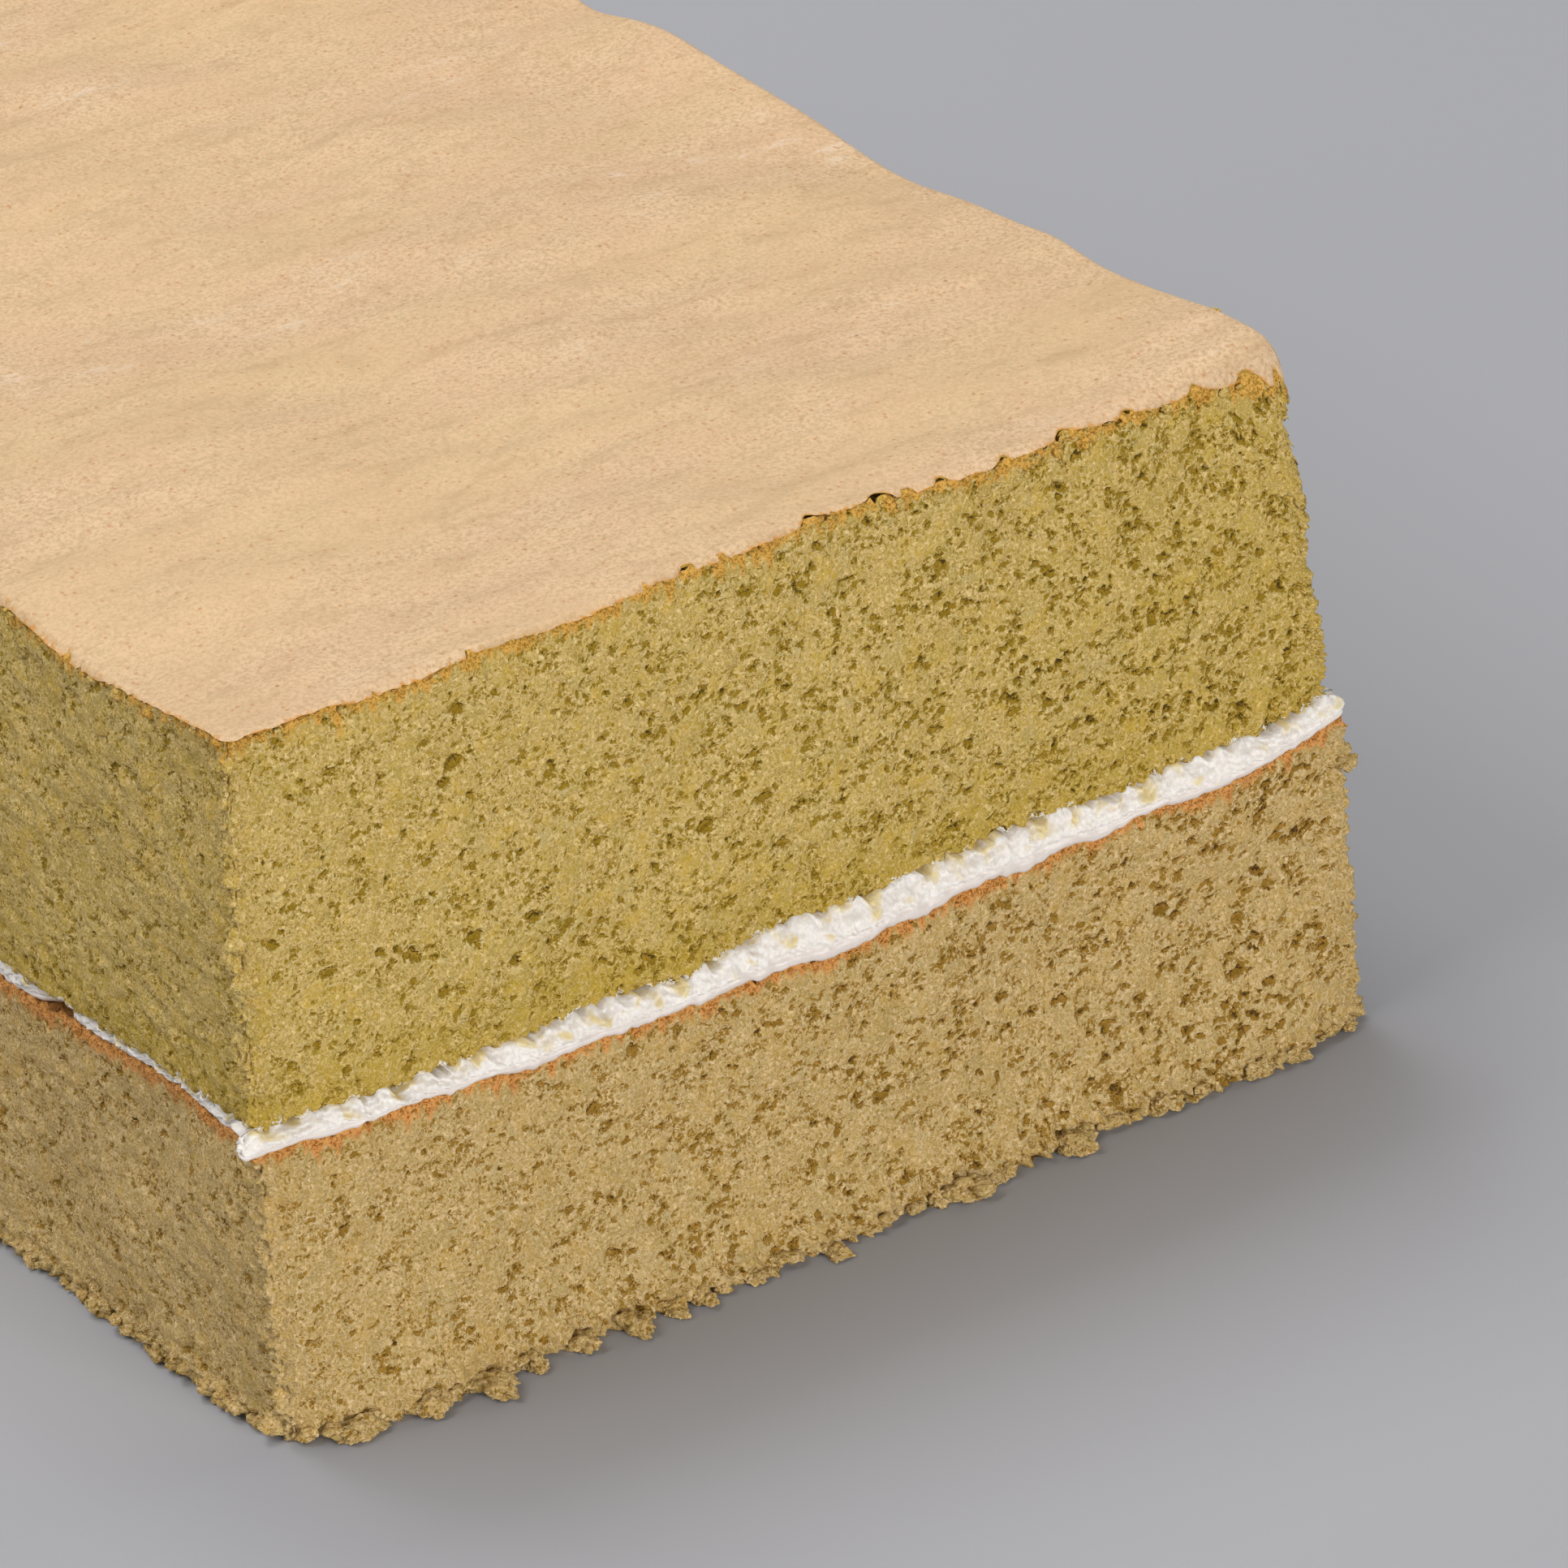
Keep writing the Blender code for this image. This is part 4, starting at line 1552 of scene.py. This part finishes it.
@dataclass
class TopSkin:
    """The thin baked skin over the top, softly wrinkled, its rim torn where it was cut."""

    form: CakeForm
    seed: int = 91
    rim_step: float = 0.3 * MM
    rim_band: float = 3.0 * MM
    across_step: float = 0.46 * MM
    near_step: float = 0.5 * MM
    near_band: float = 50.0 * MM
    far_step: float = 1.0 * MM
    fold_height: float = 0.13 * MM
    fold_band: Pair = (7.0 * MM, 24.0 * MM)
    fold_stretch: float = 2.4
    crinkle_height: float = 0.02 * MM
    crinkle_band: Pair = (1.8 * MM, 5.0 * MM)
    crinkle_stretch: float = 2.2
    calm_rim: Pair = (0.5 * MM, 6.0 * MM)
    overhang: float = 0.12 * MM
    overhang_reach: float = 0.5 * MM
    curl: float = 0.4 * MM
    curl_reach: float = 0.25 * MM
    tear_depth: float = 0.8 * MM
    tear_reach: float = 2.2 * MM
    tear_band: Pair = (1.8 * MM, 6.0 * MM)
    tear_from: Pair = (1.0, 1.8)
    split_depth: float = 0.8 * MM
    split_band: Pair = (0.9 * MM, 2.0 * MM)
    split_from: Pair = (1.7, 2.4)
    rim_brown: float = 0.6 * MM
    rim_bare: float = 0.3 * MM
    tearing: SideSizes = SideSizes(1.0, 0.0, 1.0, 0.7)
    # Notches torn in the front rim: x, half width and depth
    notches: Rows = in_mm(
        (4.5, 0.8, 1.1),
        (12.7, 1.2, 1.2),
        (20.0, 0.9, 1.1),
        (27.7, 1.1, 0.9),
        (35.6, 1.3, 1.0),
        (43.5, 1.0, 0.9),
        (52.1, 0.8, 0.8),
        (58.6, 1.5, 0.9),
    )

    def build(self, material: bpy.types.Material) -> bpy.types.Object:
        """Makes the skin.

        Args:
            material: the skin's finish.

        Returns:
            The piece.
        """
        form = self.form
        rim, near = (self.rim_step, self.rim_band), (self.near_step, self.near_band)
        x_lines = graded_lines(form.half_width, rim, (self.across_step, 0.0), self.across_step)
        y_lines = graded_lines(form.half_length, rim, near, self.far_step)
        u, v = np.meshgrid(x_lines / form.half_width, y_lines / form.half_length)
        points = form.placed(Layer.UPPER, u, v, np.ones_like(u))
        x, y = points[..., 0].copy(), points[..., 1].copy()
        along, up = x + form.half_width, y + form.half_length
        size = (2.2 * form.half_width, 2.2 * form.half_length)
        folds = NoiseMap.made(size, 1.0 * MM, self.fold_band, self.seed, self.fold_stretch)
        crinkles = NoiseMap.made(
            size, 0.5 * MM, self.crinkle_band, self.seed + 1, self.crinkle_stretch
        )
        tearing = NoiseMap.made(size, 0.3 * MM, self.tear_band, self.seed + 2)
        splits = NoiseMap.made(size, 0.2 * MM, self.split_band, self.seed + 3)
        gaps = form.gaps(u * form.half_width, v * form.half_length)
        gap = np.minimum.reduce(list(gaps.values()))
        at_rim = {side: gaps[side] == gap for side in Side}
        inner = smooth_step(gap, *self.calm_rim)
        relief = inner * self.fold_height * folds.at(along, up)
        relief += (0.3 + 0.7 * inner) * self.crinkle_height * crinkles.at(along, up)
        relief += points[..., 2] - form.top_height(x, y)
        round_rim = np.where(at_rim[Side.RIGHT], -up, along)
        round_rim = np.where(at_rim[Side.LEFT], up + size[0], round_rim)
        tears = tearing.at(round_rim, 0.0)
        notched = bells(x, self.notches) * at_rim[Side.FRONT]
        willing = np.select(list(at_rim.values()), [self.tearing.at(side) for side in Side])
        torn = self.tear_depth * willing * smooth_step(tears, *self.tear_from)
        torn = np.maximum(torn, notched)
        shift = self.overhang * np.exp(-gap / self.overhang_reach)
        shift -= torn * np.exp(-gap / self.tear_reach)
        ways = {Side.FRONT: (1, -1), Side.BACK: (1, 1), Side.LEFT: (0, -1), Side.RIGHT: (0, 1)}
        for side, (axis, sign) in ways.items():
            nearest = np.exp(-np.maximum(gaps[side] - gap, 0) / self.overhang_reach)
            points[..., axis] += sign * nearest * shift
        curled = self.curl * np.exp(-gap / self.curl_reach) * (0.6 + 0.4 * np.tanh(tears))
        points[..., 2] = form.top_height(points[..., 0], points[..., 1]) + relief - curled
        browned = smooth_step(torn, 0.1 * MM, 0.8 * MM)
        risen = np.maximum(points[..., 2] - points[:1, :, 2], 0)
        from_rim = gap + np.where(at_rim[Side.FRONT], risen, 0)
        split = willing * smooth_step(splits.at(round_rim, 0.0), *self.split_from)
        rim_tone = np.exp(-from_rim / self.rim_brown) * (0.6 + 0.35 * browned)
        rim_tone += 0.3 * split * np.exp(-from_rim / self.split_depth)
        bare = browned * np.exp(-from_rim / self.rim_bare)
        piece = grid_object("top_skin", points, {"rim": rim_tone, "bare": bare}, material)
        return dressed(piece, "top_skin", Layer.UPPER.value)


@dataclass
class Underside:
    """The flat foot of the cake, pressed crumb, seen only from below."""

    form: CakeForm
    seed: int = 55
    step: float = 1.1 * MM
    inset: float = 1.6 * MM
    height: float = 0.05 * MM
    dent_band: Pair = (2.5 * MM, 6.0 * MM)
    dent_depth: float = 0.25 * MM

    def build(self, material: bpy.types.Material) -> bpy.types.Object:
        """Makes the underside.

        Args:
            material: the crumb's finish.

        Returns:
            The piece.
        """
        wide, deep = self.form.half_width, self.form.half_length
        u = np.linspace(1, -1, int(2 * wide / self.step)) * (1 - self.inset / wide)
        v = np.linspace(-1, 1, int(2 * deep / self.step)) * (1 - self.inset / deep)
        uu, vv = np.meshgrid(u, v)
        points = self.form.placed(Layer.LOWER, uu, vv, np.zeros_like(uu))
        dents = NoiseMap.made((2 * wide, 2 * deep), 0.8 * MM, self.dent_band, self.seed)
        dent = dents.at(points[..., 0] + wide, points[..., 1] + deep)
        points[..., 2] = self.height + self.dent_depth * smooth_step(dent, 0.3, 2.0)
        # The dents get painted shade
        hollow = 0.7 * smooth_step(dent, 0.5, 2.0)
        values = {title: np.zeros_like(uu) for title in ("lip", "moist", "baked", "smear")}
        values |= {"pore": hollow, "shade": 0.6 * hollow}
        piece = grid_object("underside", points, values, material)
        return dressed(piece, "lower_crumb", Layer.LOWER.value)


@dataclass(frozen=True)
class Lump:
    """One crumb: where it is, its half sizes, and how hard it was baked."""

    place: Point
    half: Point
    turn: float = 0.0
    baked: float = 0.0


@dataclass
class Crumbs:
    """Torn crumbs: those along the foot and those left on the rim."""

    form: CakeForm
    walk: WallWalk
    seed: int = 404
    # Crumbs torn out along the foot: place along its side, how far out, and width
    front_foot: Rows = in_mm(
        (-58.6, 2.2, 6.7),
        (-51.7, 2.3, 3.5),
        (-44.6, 4.2, 3.9),
        (-39.1, 2.7, 2.3),
        (-33.2, 2.9, 2.7),
        (-27.2, 3.9, 3.5),
        (-22.4, 2.5, 2.3),
        (-19.2, 2.6, 2.0),
        (-12.6, 1.7, 2.3),
        (-3.7, 3.4, 2.1),
        (13.5, 2.9, 4.9),
        (18.0, 1.2, 2.4),
        (27.8, 3.4, 4.5),
        (39.2, 1.6, 3.6),
        (51.3, 1.3, 3.6),
        (56.1, 1.6, 2.4),
        (63.2, 2.0, 2.0),
    )
    left_foot: Rows = in_mm(
        (-117.0, 1.4, 2.0),
        (-110.0, 1.6, 3.0),
        (-98.0, 1.2, 2.6),
        (-86.0, 1.8, 3.4),
        (-73.0, 1.2, 2.4),
        (-57.0, 1.6, 3.2),
        (-40.0, 1.2, 2.8),
    )
    # Browned clumps on the front rim: x, how far below the skin, and radius
    front_rim: Rows = in_mm(
        (6.7, 1.3, 0.9),
        (14.7, 1.2, 1.0),
        (22.3, 0.7, 0.7),
        (30.0, 1.2, 0.9),
        (37.5, 1.3, 1.3),
        (44.9, 0.7, 0.7),
        (53.8, 0.8, 0.9),
        (59.4, 1.6, 1.0),
        (62.2, 1.0, 0.8),
    )
    # A crumb that stands on the right rim: y and radius
    skyline_crumb: Pair = (-109.0 * MM, 0.9 * MM)
    # A crumb that clings to the right edge below the cream
    clinging_place: Point = (67.6 * MM, -120.6 * MM, 29.8 * MM)
    clinging_radius: float = 1.0 * MM
    # The row of middling crumbs along the right and back foot: clear start, clear end, step
    foot_row: Point = (8.0 * MM, 90.0 * MM, 17.0 * MM)
    foot_count: int = 430
    rim_count: int = 400
    clump_baked: float = 0.9
    row_radius: Pair = (1.2 * MM, 2.0 * MM)
    row_wander: float = 1.0 * MM
    foot_radius: Pair = (0.3 * MM, 1.0 * MM)
    foot_turn: float = 0.3
    torn_turn: float = 0.15
    # Knobs, pits and spikes: their heights and wave lengths in a crumb's radii
    knob: float = 0.27
    pitting: float = 0.12
    spikes: float = 0.12
    knob_waves: Pair = (2.0, 0.6)
    pit_waves: Pair = (0.7, 0.3)
    spike_waves: Pair = (0.5, 0.14)
    floor_ease: float = 0.3 * MM
    clear_edge: float = 4.0 * MM

    def _side_point(self, layer: Layer, along: float, t: float) -> tuple[Array, Array]:
        """A point of a layer's side and the way that it faces there.

        Args:
            layer: the layer.
            along: how far round the walk.
            t: share of the layer's height.

        Returns:
            The point and the outward direction.
        """
        column = int(np.searchsorted(self.walk.along, along % self.walk.length)) % len(self.walk.u)
        u, v = self.walk.u[column : column + 1], self.walk.v[column : column + 1]
        return self.form.placed(layer, u, v, np.array([t]))[0], self.walk.normal[column]

    def _torn_lumps(self, rng: np.random.Generator) -> list[Lump]:
        """The large crumbs torn out along the front and left foot.

        Args:
            rng: the draw of their turns.

        Returns:
            The crumbs.
        """
        form = self.form
        placed = [(form.half_width + x, reach, width) for x, reach, width in self.front_foot]
        placed += [(-form.half_length - y, reach, width) for y, reach, width in self.left_foot]
        lumps = []
        for along, reach, width in placed:
            point, normal = self._side_point(Layer.LOWER, along, 0.0)
            half_out = 0.5 * reach + 0.5 * MM
            out = reach - half_out
            tall = min(0.3 * width, 1.1 * MM) + 0.2 * MM
            place = (point[0] + normal[0] * out, point[1] + normal[1] * out, 0.7 * tall)
            turn = math.atan2(normal[1], normal[0]) + math.pi / 2
            turn += rng.normal(0, self.torn_turn)
            lumps.append(Lump(place, (width / 2, half_out, tall), turn))
        return lumps

    def _foot_lumps(self, rng: np.random.Generator) -> list[Lump]:
        """The smaller crumbs all along the foot.

        Args:
            rng: the draw of their places and sizes.

        Returns:
            The crumbs.
        """
        start, end, step = self.foot_row
        lumps = []
        for place in np.arange(2 * self.form.half_width + start, self.walk.length - end, step):
            along = place + rng.normal(0, self.row_wander)
            lumps.append(self._foot_lump(along, rng.uniform(*self.row_radius), rng))
        for place in np.sort(rng.uniform(0, self.walk.length, self.foot_count)):
            lumps.append(self._foot_lump(place, rng.uniform(*self.foot_radius), rng))
        radius = self.clinging_radius
        lumps.append(Lump(self.clinging_place, (1.3 * radius, radius, 0.9 * radius)))
        return lumps

    def _foot_lump(self, along: float, radius: float, rng: np.random.Generator) -> Lump:
        """One crumb on the foot of the sponge.

        Args:
            along: how far round the walk.
            radius: its size.
            rng: the draw of its place and form.

        Returns:
            The crumb.
        """
        point, normal = self._side_point(Layer.LOWER, along, rng.uniform(0.0, 0.045))
        out = rng.uniform(-0.25, 0.6) * radius
        flat = rng.uniform(0.55, 0.8)
        height = max(point[2], flat * radius * 0.7)
        place = (point[0] + normal[0] * out, point[1] + normal[1] * out, height)
        half = (radius * rng.uniform(1.0, 1.7), radius * rng.uniform(0.8, 1.1), radius * flat)
        turn = math.atan2(normal[1], normal[0]) + math.pi / 2 + rng.normal(0, self.foot_turn)
        return Lump(place, half, turn)

    def _rim_lumps(self, rng: np.random.Generator) -> list[Lump]:
        """Browned scraps on the torn rim of the skin, and a few larger clumps along its front.

        Args:
            rng: the draw of their places, sizes and browning.

        Returns:
            The crumbs.
        """
        wide = self.form.half_width
        lumps = []
        for x, down, radius in self.front_rim:
            point, normal = self._side_point(Layer.UPPER, wide + x, 1.0)
            inward = 0.5 * radius
            place = (point[0] - inward * normal[0], point[1] - inward * normal[1], point[2] - down)
            half = (radius, 0.8 * radius, 0.9 * radius)
            lumps.append(Lump(place, half, baked=self.clump_baked))
        for along in np.sort(rng.uniform(0, self.walk.length, self.rim_count)):
            point, normal = self._side_point(Layer.UPPER, along, 1.0)
            radius = (0.2 + 0.5 * rng.uniform() ** 3) * MM
            inward = rng.uniform(-0.1, 0.3) * MM
            down = radius + rng.uniform(0.1, 0.8) * MM
            place = (point[0] - normal[0] * inward, point[1] - normal[1] * inward, point[2] - down)
            half = (radius * rng.uniform(1, 1.5), radius, radius * rng.uniform(0.6, 1.0))
            lump = Lump(place, half, rng.uniform(0, math.pi), rng.uniform(-0.2, 0.8))
            if abs(point[0]) < wide - self.clear_edge or point[0] < 0:
                lumps.append(lump)
        y, radius = self.skyline_crumb
        point, _ = self._side_point(Layer.UPPER, 2 * wide + self.form.half_length + y, 1.0)
        place = (point[0] - 1.5 * radius, point[1], point[2] + 0.8 * radius)
        lumps.append(Lump(place, (radius, radius, 0.8 * radius)))
        return lumps

    def _joined(
        self,
        name: str,
        lumps: list[Lump],
        detail: int,
        spikes: float,
        slot: str,
        material: bpy.types.Material,
        rng: np.random.Generator,
    ) -> bpy.types.Object:
        """Joins knobbly lumps into one mesh.

        Args:
            name: the piece's name.
            lumps: where and how large they are.
            detail: how often an icosphere's faces are divided.
            spikes: how far fine spikes stand out, as a share of a lump's radius.
            slot: the record's slot for the finish.
            material: the finish.
            rng: the draw of their shapes.

        Returns:
            The piece.
        """
        bm = bmesh.new()
        bmesh.ops.create_icosphere(bm, subdivisions=detail, radius=1.0)
        ball = np.array([v.co[:] for v in bm.verts])
        faces = np.array([[v.index for v in face.verts] for face in bm.faces])
        bm.free()
        points, corners, pits, baked = [], [], [], []
        for count, lump in enumerate(lumps):
            seed = int(rng.integers(1, 2**31))
            half = np.array(lump.half)
            unflattened = ball * half / float(np.mean(lump.half))
            knobs, holes, spiky = (
                Waves(seed + number, *waves, 1.0).at(unflattened)
                for number, waves in enumerate((self.knob_waves, self.pit_waves, self.spike_waves))
            )
            radius = 1 + self.knob * knobs + spikes * spiky - self.pitting * np.maximum(holes, 0)
            cos, sin = math.cos(lump.turn), math.sin(lump.turn)
            turning = np.array([[cos, sin, 0], [-sin, cos, 0], [0, 0, 1]])
            placed = (ball * radius[:, None] * half) @ turning + np.array(lump.place)
            placed[:, 2] = 0.5 * (placed[:, 2] + np.hypot(placed[:, 2], self.floor_ease))
            points.append(placed)
            corners.append(faces + count * len(ball))
            pits.append(np.clip(holes, 0, 1))
            baked.append(np.full(len(ball), lump.baked))
        mesh = bpy.data.meshes.new(name)
        mesh.from_pydata(np.concatenate(points), [], np.concatenate(corners))
        # The crumbs' pits get painted shade
        hollow = np.concatenate(pits)
        values = {"pore": 0.5 * hollow, "shade": 0.25 * hollow, "baked": np.concatenate(baked)}
        return dressed(finished(mesh, values, material), slot)

    def build(self, lower: bpy.types.Material, upper: bpy.types.Material) -> list[bpy.types.Object]:
        """Makes all the crumbs.

        Args:
            lower: the lower layer's crumb finish.
            upper: the upper layer's crumb finish.

        Returns:
            The pieces.
        """
        rng = np.random.default_rng(self.seed)
        torn, foot, rim = self._torn_lumps(rng), self._foot_lumps(rng), self._rim_lumps(rng)
        return [
            self._joined("foot_crumbs_large", torn, 5, self.spikes, "lower_crumb", lower, rng),
            self._joined("foot_crumbs_small", foot, 3, self.spikes / 2, "lower_crumb", lower, rng),
            self._joined("rim_scraps", rim, 3, 0.0, "baked_line", upper, rng),
        ]


@dataclass(frozen=True)
class SoftBox:
    """A square soft light that faces the cake, invisible itself."""

    round_from_front: float
    rise: float
    watts: float
    distance: float
    size: float

    def build(self) -> bpy.types.Object:
        """Makes the light.

        Returns:
            The light.
        """
        name = f"softbox_{int(self.round_from_front) % 360}_{int(self.rise)}"
        turn, rise = math.radians(self.round_from_front), math.radians(self.rise)
        level = math.cos(rise)
        way = Vector((math.sin(turn) * level, -math.cos(turn) * level, math.sin(rise)))
        light = bpy.data.lights.new(name, "AREA")
        light.shape, light.size, light.energy = "SQUARE", self.size, self.watts
        lamp = linked(name, light)
        facing = way.to_track_quat("Z", "Y").to_matrix().to_4x4()
        lamp.matrix_world = Matrix.Translation(way * self.distance) @ facing
        lamp.visible_camera = False
        return lamp


@dataclass(frozen=True)
class Studio:
    """The pale floor, the soft lights, the sky and the camera of the photograph."""

    azimuth: float = math.radians(-33.0848)
    elevation: float = math.radians(26.7526)
    roll: float = math.radians(-4.02005)
    distance: float = 0.88935
    aim: Point = (0.0, -0.120, 0.039)
    slide: Pair = (-0.00216, 0.00995)
    lens: float = 205.0
    sensor: float = 36.0
    clip: Pair = (0.05, 50.0)
    floor_half: float = 7.0
    floor_colour: Colour = (0.355, 0.356, 0.378)
    floor_mottle: float = 0.97
    floor_clouds: Cloud = Cloud(0.35, 2.0, 0.5)
    floor_roughness: float = 0.75
    floor_sheen: float = 0.25
    sky_colour: Colour = (0.80, 0.80, 0.83)
    sky_strength: float = 0.03
    light_distance: float = 2.0
    light_size: float = 1.0
    # Softboxes round the cake: degrees round from the front to the right, degrees up, watts
    lights: tuple[Point, ...] = (
        (0.0, 12.0, 31.5),
        (-45.0, 12.0, 5.5),
        (90.0, 28.0, 6.0),
        (135.0, 62.0, 6.0),
        (180.0, 62.0, 18.4),
        (225.0, 62.0, 6.0),
        (270.0, 50.0, 14.0),
        (236.0, 35.0, 5.0),
    )

    def camera(self) -> bpy.types.Object:
        """Makes the camera at the photograph's viewing angle.

        Returns:
            The camera.
        """
        a, e, r = self.azimuth, self.elevation, self.roll
        back = Vector((math.sin(a) * math.cos(e), -math.cos(a) * math.cos(e), math.sin(e)))
        level = Vector((math.cos(a), math.sin(a), 0.0))
        rise = back.cross(level)
        right = math.cos(r) * level + math.sin(r) * rise
        up = -math.sin(r) * level + math.cos(r) * rise
        data = bpy.data.cameras.new("photo_camera")
        data.lens, data.sensor_width = self.lens, self.sensor
        data.clip_start, data.clip_end = self.clip
        camera = linked("photo_camera", data)
        place = Vector(self.aim) + back * self.distance + right * self.slide[0] + up * self.slide[1]
        turned = Matrix((right, up, back)).transposed().to_4x4()
        camera.matrix_world = Matrix.Translation(place) @ turned
        bpy.context.scene.camera = camera
        return camera

    def floor(self) -> bpy.types.Object:
        """Makes the floor, a wide sheet with a faint unevenness of tone.

        Returns:
            The floor.
        """
        material, bench, shader = new_material("studio_paper")
        tone = bench.ramp(bench.cloudy(bench.place(), self.floor_clouds), (0.3, 0.7))
        shade = tuple(self.floor_mottle * part for part in self.floor_colour)
        surface = {
            "Base Color": bench.mix(tone, shade, self.floor_colour),
            "Roughness": self.floor_roughness,
            "Specular IOR Level": self.floor_sheen,
        }
        bench.feed(shader, surface)
        bm = bmesh.new()
        bmesh.ops.create_grid(bm, x_segments=8, y_segments=8, size=self.floor_half)
        mesh = bpy.data.meshes.new("studio_floor")
        bm.to_mesh(mesh)
        bm.free()
        mesh.materials.append(material)
        floor = linked("studio_floor", mesh)
        return floor

    def build(self) -> None:
        """Sets up the whole studio."""
        scene = bpy.context.scene
        world = bpy.data.worlds.new("studio_sky")
        world.use_nodes = True
        sky = world.node_tree.nodes["Background"].inputs
        sky["Color"].default_value = (*self.sky_colour, 1.0)
        sky["Strength"].default_value = self.sky_strength
        scene.world = world
        scene.view_settings.view_transform = "Standard"
        self.floor()
        for round_from_front, rise, watts in self.lights:
            SoftBox(round_from_front, rise, watts, self.light_distance, self.light_size).build()
        self.camera()


WALL_SPACING = SideSizes(0.245 * MM, 0.80 * MM, 0.70 * MM, 0.40 * MM)
WIDE_PORES = OpenPores(
    band=(2.0 * MM, 5.0 * MM),
    stretch=1.3,
    closed=1.2,
    opened=2.6,
    depth=0.4 * MM,
    hole_shading=0.2,
    darkness=0.12,
)
NARROW_PORES = OpenPores(
    band=(0.8 * MM, 2.0 * MM),
    stretch=1.3,
    closed=1.2,
    opened=2.4,
    depth=0.14 * MM,
    hole_shading=0.26,
    darkness=0.1,
)
MOIST_PORES = OpenPores(
    band=(0.6 * MM, 1.4 * MM),
    stretch=1.7,
    closed=1.0,
    opened=1.9,
    depth=0.22 * MM,
    hole_shading=0.4,
    darkness=0.3,
    below=12.0 * MM,
)
LARGE_BUBBLES = Bubbles(
    per_square_mm=0.07, radius=(0.5 * MM, 1.0 * MM), depth=1.0 * MM, flatness=(0.4, 0.8)
)
MIDDLING_BUBBLES = Bubbles(
    per_square_mm=1.15, radius=(0.3 * MM, 0.56 * MM), depth=0.7 * MM, flatness=(0.42, 0.85)
)
SMALL_BUBBLES = Bubbles(
    per_square_mm=2.4, radius=(0.17 * MM, 0.31 * MM), depth=0.45 * MM, flatness=(0.4, 0.8)
)
LOWER_FLATNESS = (0.35, 0.7)
UPPER_PORES = (WIDE_PORES, NARROW_PORES, MOIST_PORES)
UPPER_BUBBLES = (LARGE_BUBBLES, MIDDLING_BUBBLES, SMALL_BUBBLES)
LOWER_PORES = (
    replace(WIDE_PORES, closed=1.3, opened=2.7),
    replace(NARROW_PORES, stretch=1.5, darkness=0.12),
)
LOWER_BUBBLES = (
    replace(LARGE_BUBBLES, per_square_mm=0.08, flatness=LOWER_FLATNESS),
    replace(MIDDLING_BUBBLES, flatness=LOWER_FLATNESS),
    replace(SMALL_BUBBLES, flatness=LOWER_FLATNESS),
)
# In both crumb finishes below, glint is a painted highlight colour, and hole and deep are painted
# shade colours
UPPER_CRUMB = CrumbFinish(
    "upper_crumb",
    wall=(0.67, 0.49, 0.195),
    body=(0.41, 0.265, 0.034),
    glint=(0.80, 0.68, 0.36),
    hole=(0.30, 0.185, 0.007),
    deep=(0.075, 0.043, 0.001),
    gold=(0.60, 0.39, 0.05),
    olive=(0.40, 0.30, 0.055),
    moist=(0.46, 0.31, 0.03),
    dry=(0.53, 0.43, 0.19),
    baked_light=(0.68, 0.37, 0.07),
    baked_dark=(0.36, 0.17, 0.015),
)
LOWER_CRUMB = CrumbFinish(
    "lower_crumb",
    wall=(0.66, 0.485, 0.235),
    body=(0.41, 0.262, 0.055),
    glint=(0.78, 0.66, 0.39),
    hole=(0.31, 0.17, 0.016),
    deep=(0.085, 0.04, 0.003),
    gold=(0.56, 0.34, 0.07),
    olive=(0.40, 0.285, 0.09),
    moist=(0.55, 0.35, 0.09),
    dry=(0.52, 0.41, 0.2),
    gold_patches=Patch(0.5, 0.66, 0.4),
    baked_light=(0.68, 0.315, 0.085),
    baked_dark=(0.34, 0.1, 0.012),
)


def main() -> None:
    """Builds the cake's pieces in order, then the studio."""
    logging.basicConfig(level=logging.INFO, format="%(name)s %(message)s")
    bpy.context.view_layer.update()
    form = CakeForm()
    walk = WallWalk.made(form, WALL_SPACING)
    effects = SharedEffects()
    upper_material, lower_material = UPPER_CRUMB.made(effects), LOWER_CRUMB.made(effects)
    lower_walls = SpongeWalls(
        form,
        walk,
        Layer.LOWER,
        LOWER_PORES,
        LOWER_BUBBLES,
        seed=210,
        prefix="lower_crumb",
        slot="lower_crumb",
        baked_depth=1.4 * MM,
        baked_wander=0.45 * MM,
        foot_relief=0.55 * MM,
    )
    upper_walls = SpongeWalls(
        form,
        walk,
        Layer.UPPER,
        UPPER_PORES,
        UPPER_BUBBLES,
        seed=110,
        prefix="upper_crumb",
        slot="upper_crumb",
        baked_depth=0.9 * MM,
        baked_wander=0.6 * MM,
        smear_height=1.2 * MM,
    )
    lower_walls.build(lower_material)
    CreamSeam(form, walk).build(CreamFinish().made(effects))
    upper_walls.build(upper_material)
    TopSkin(form).build(SkinFinish().made(effects))
    Underside(form).build(lower_material)
    Crumbs(form, walk).build(lower_material, upper_material)
    Studio().build()


if __name__ == "__main__":
    main()
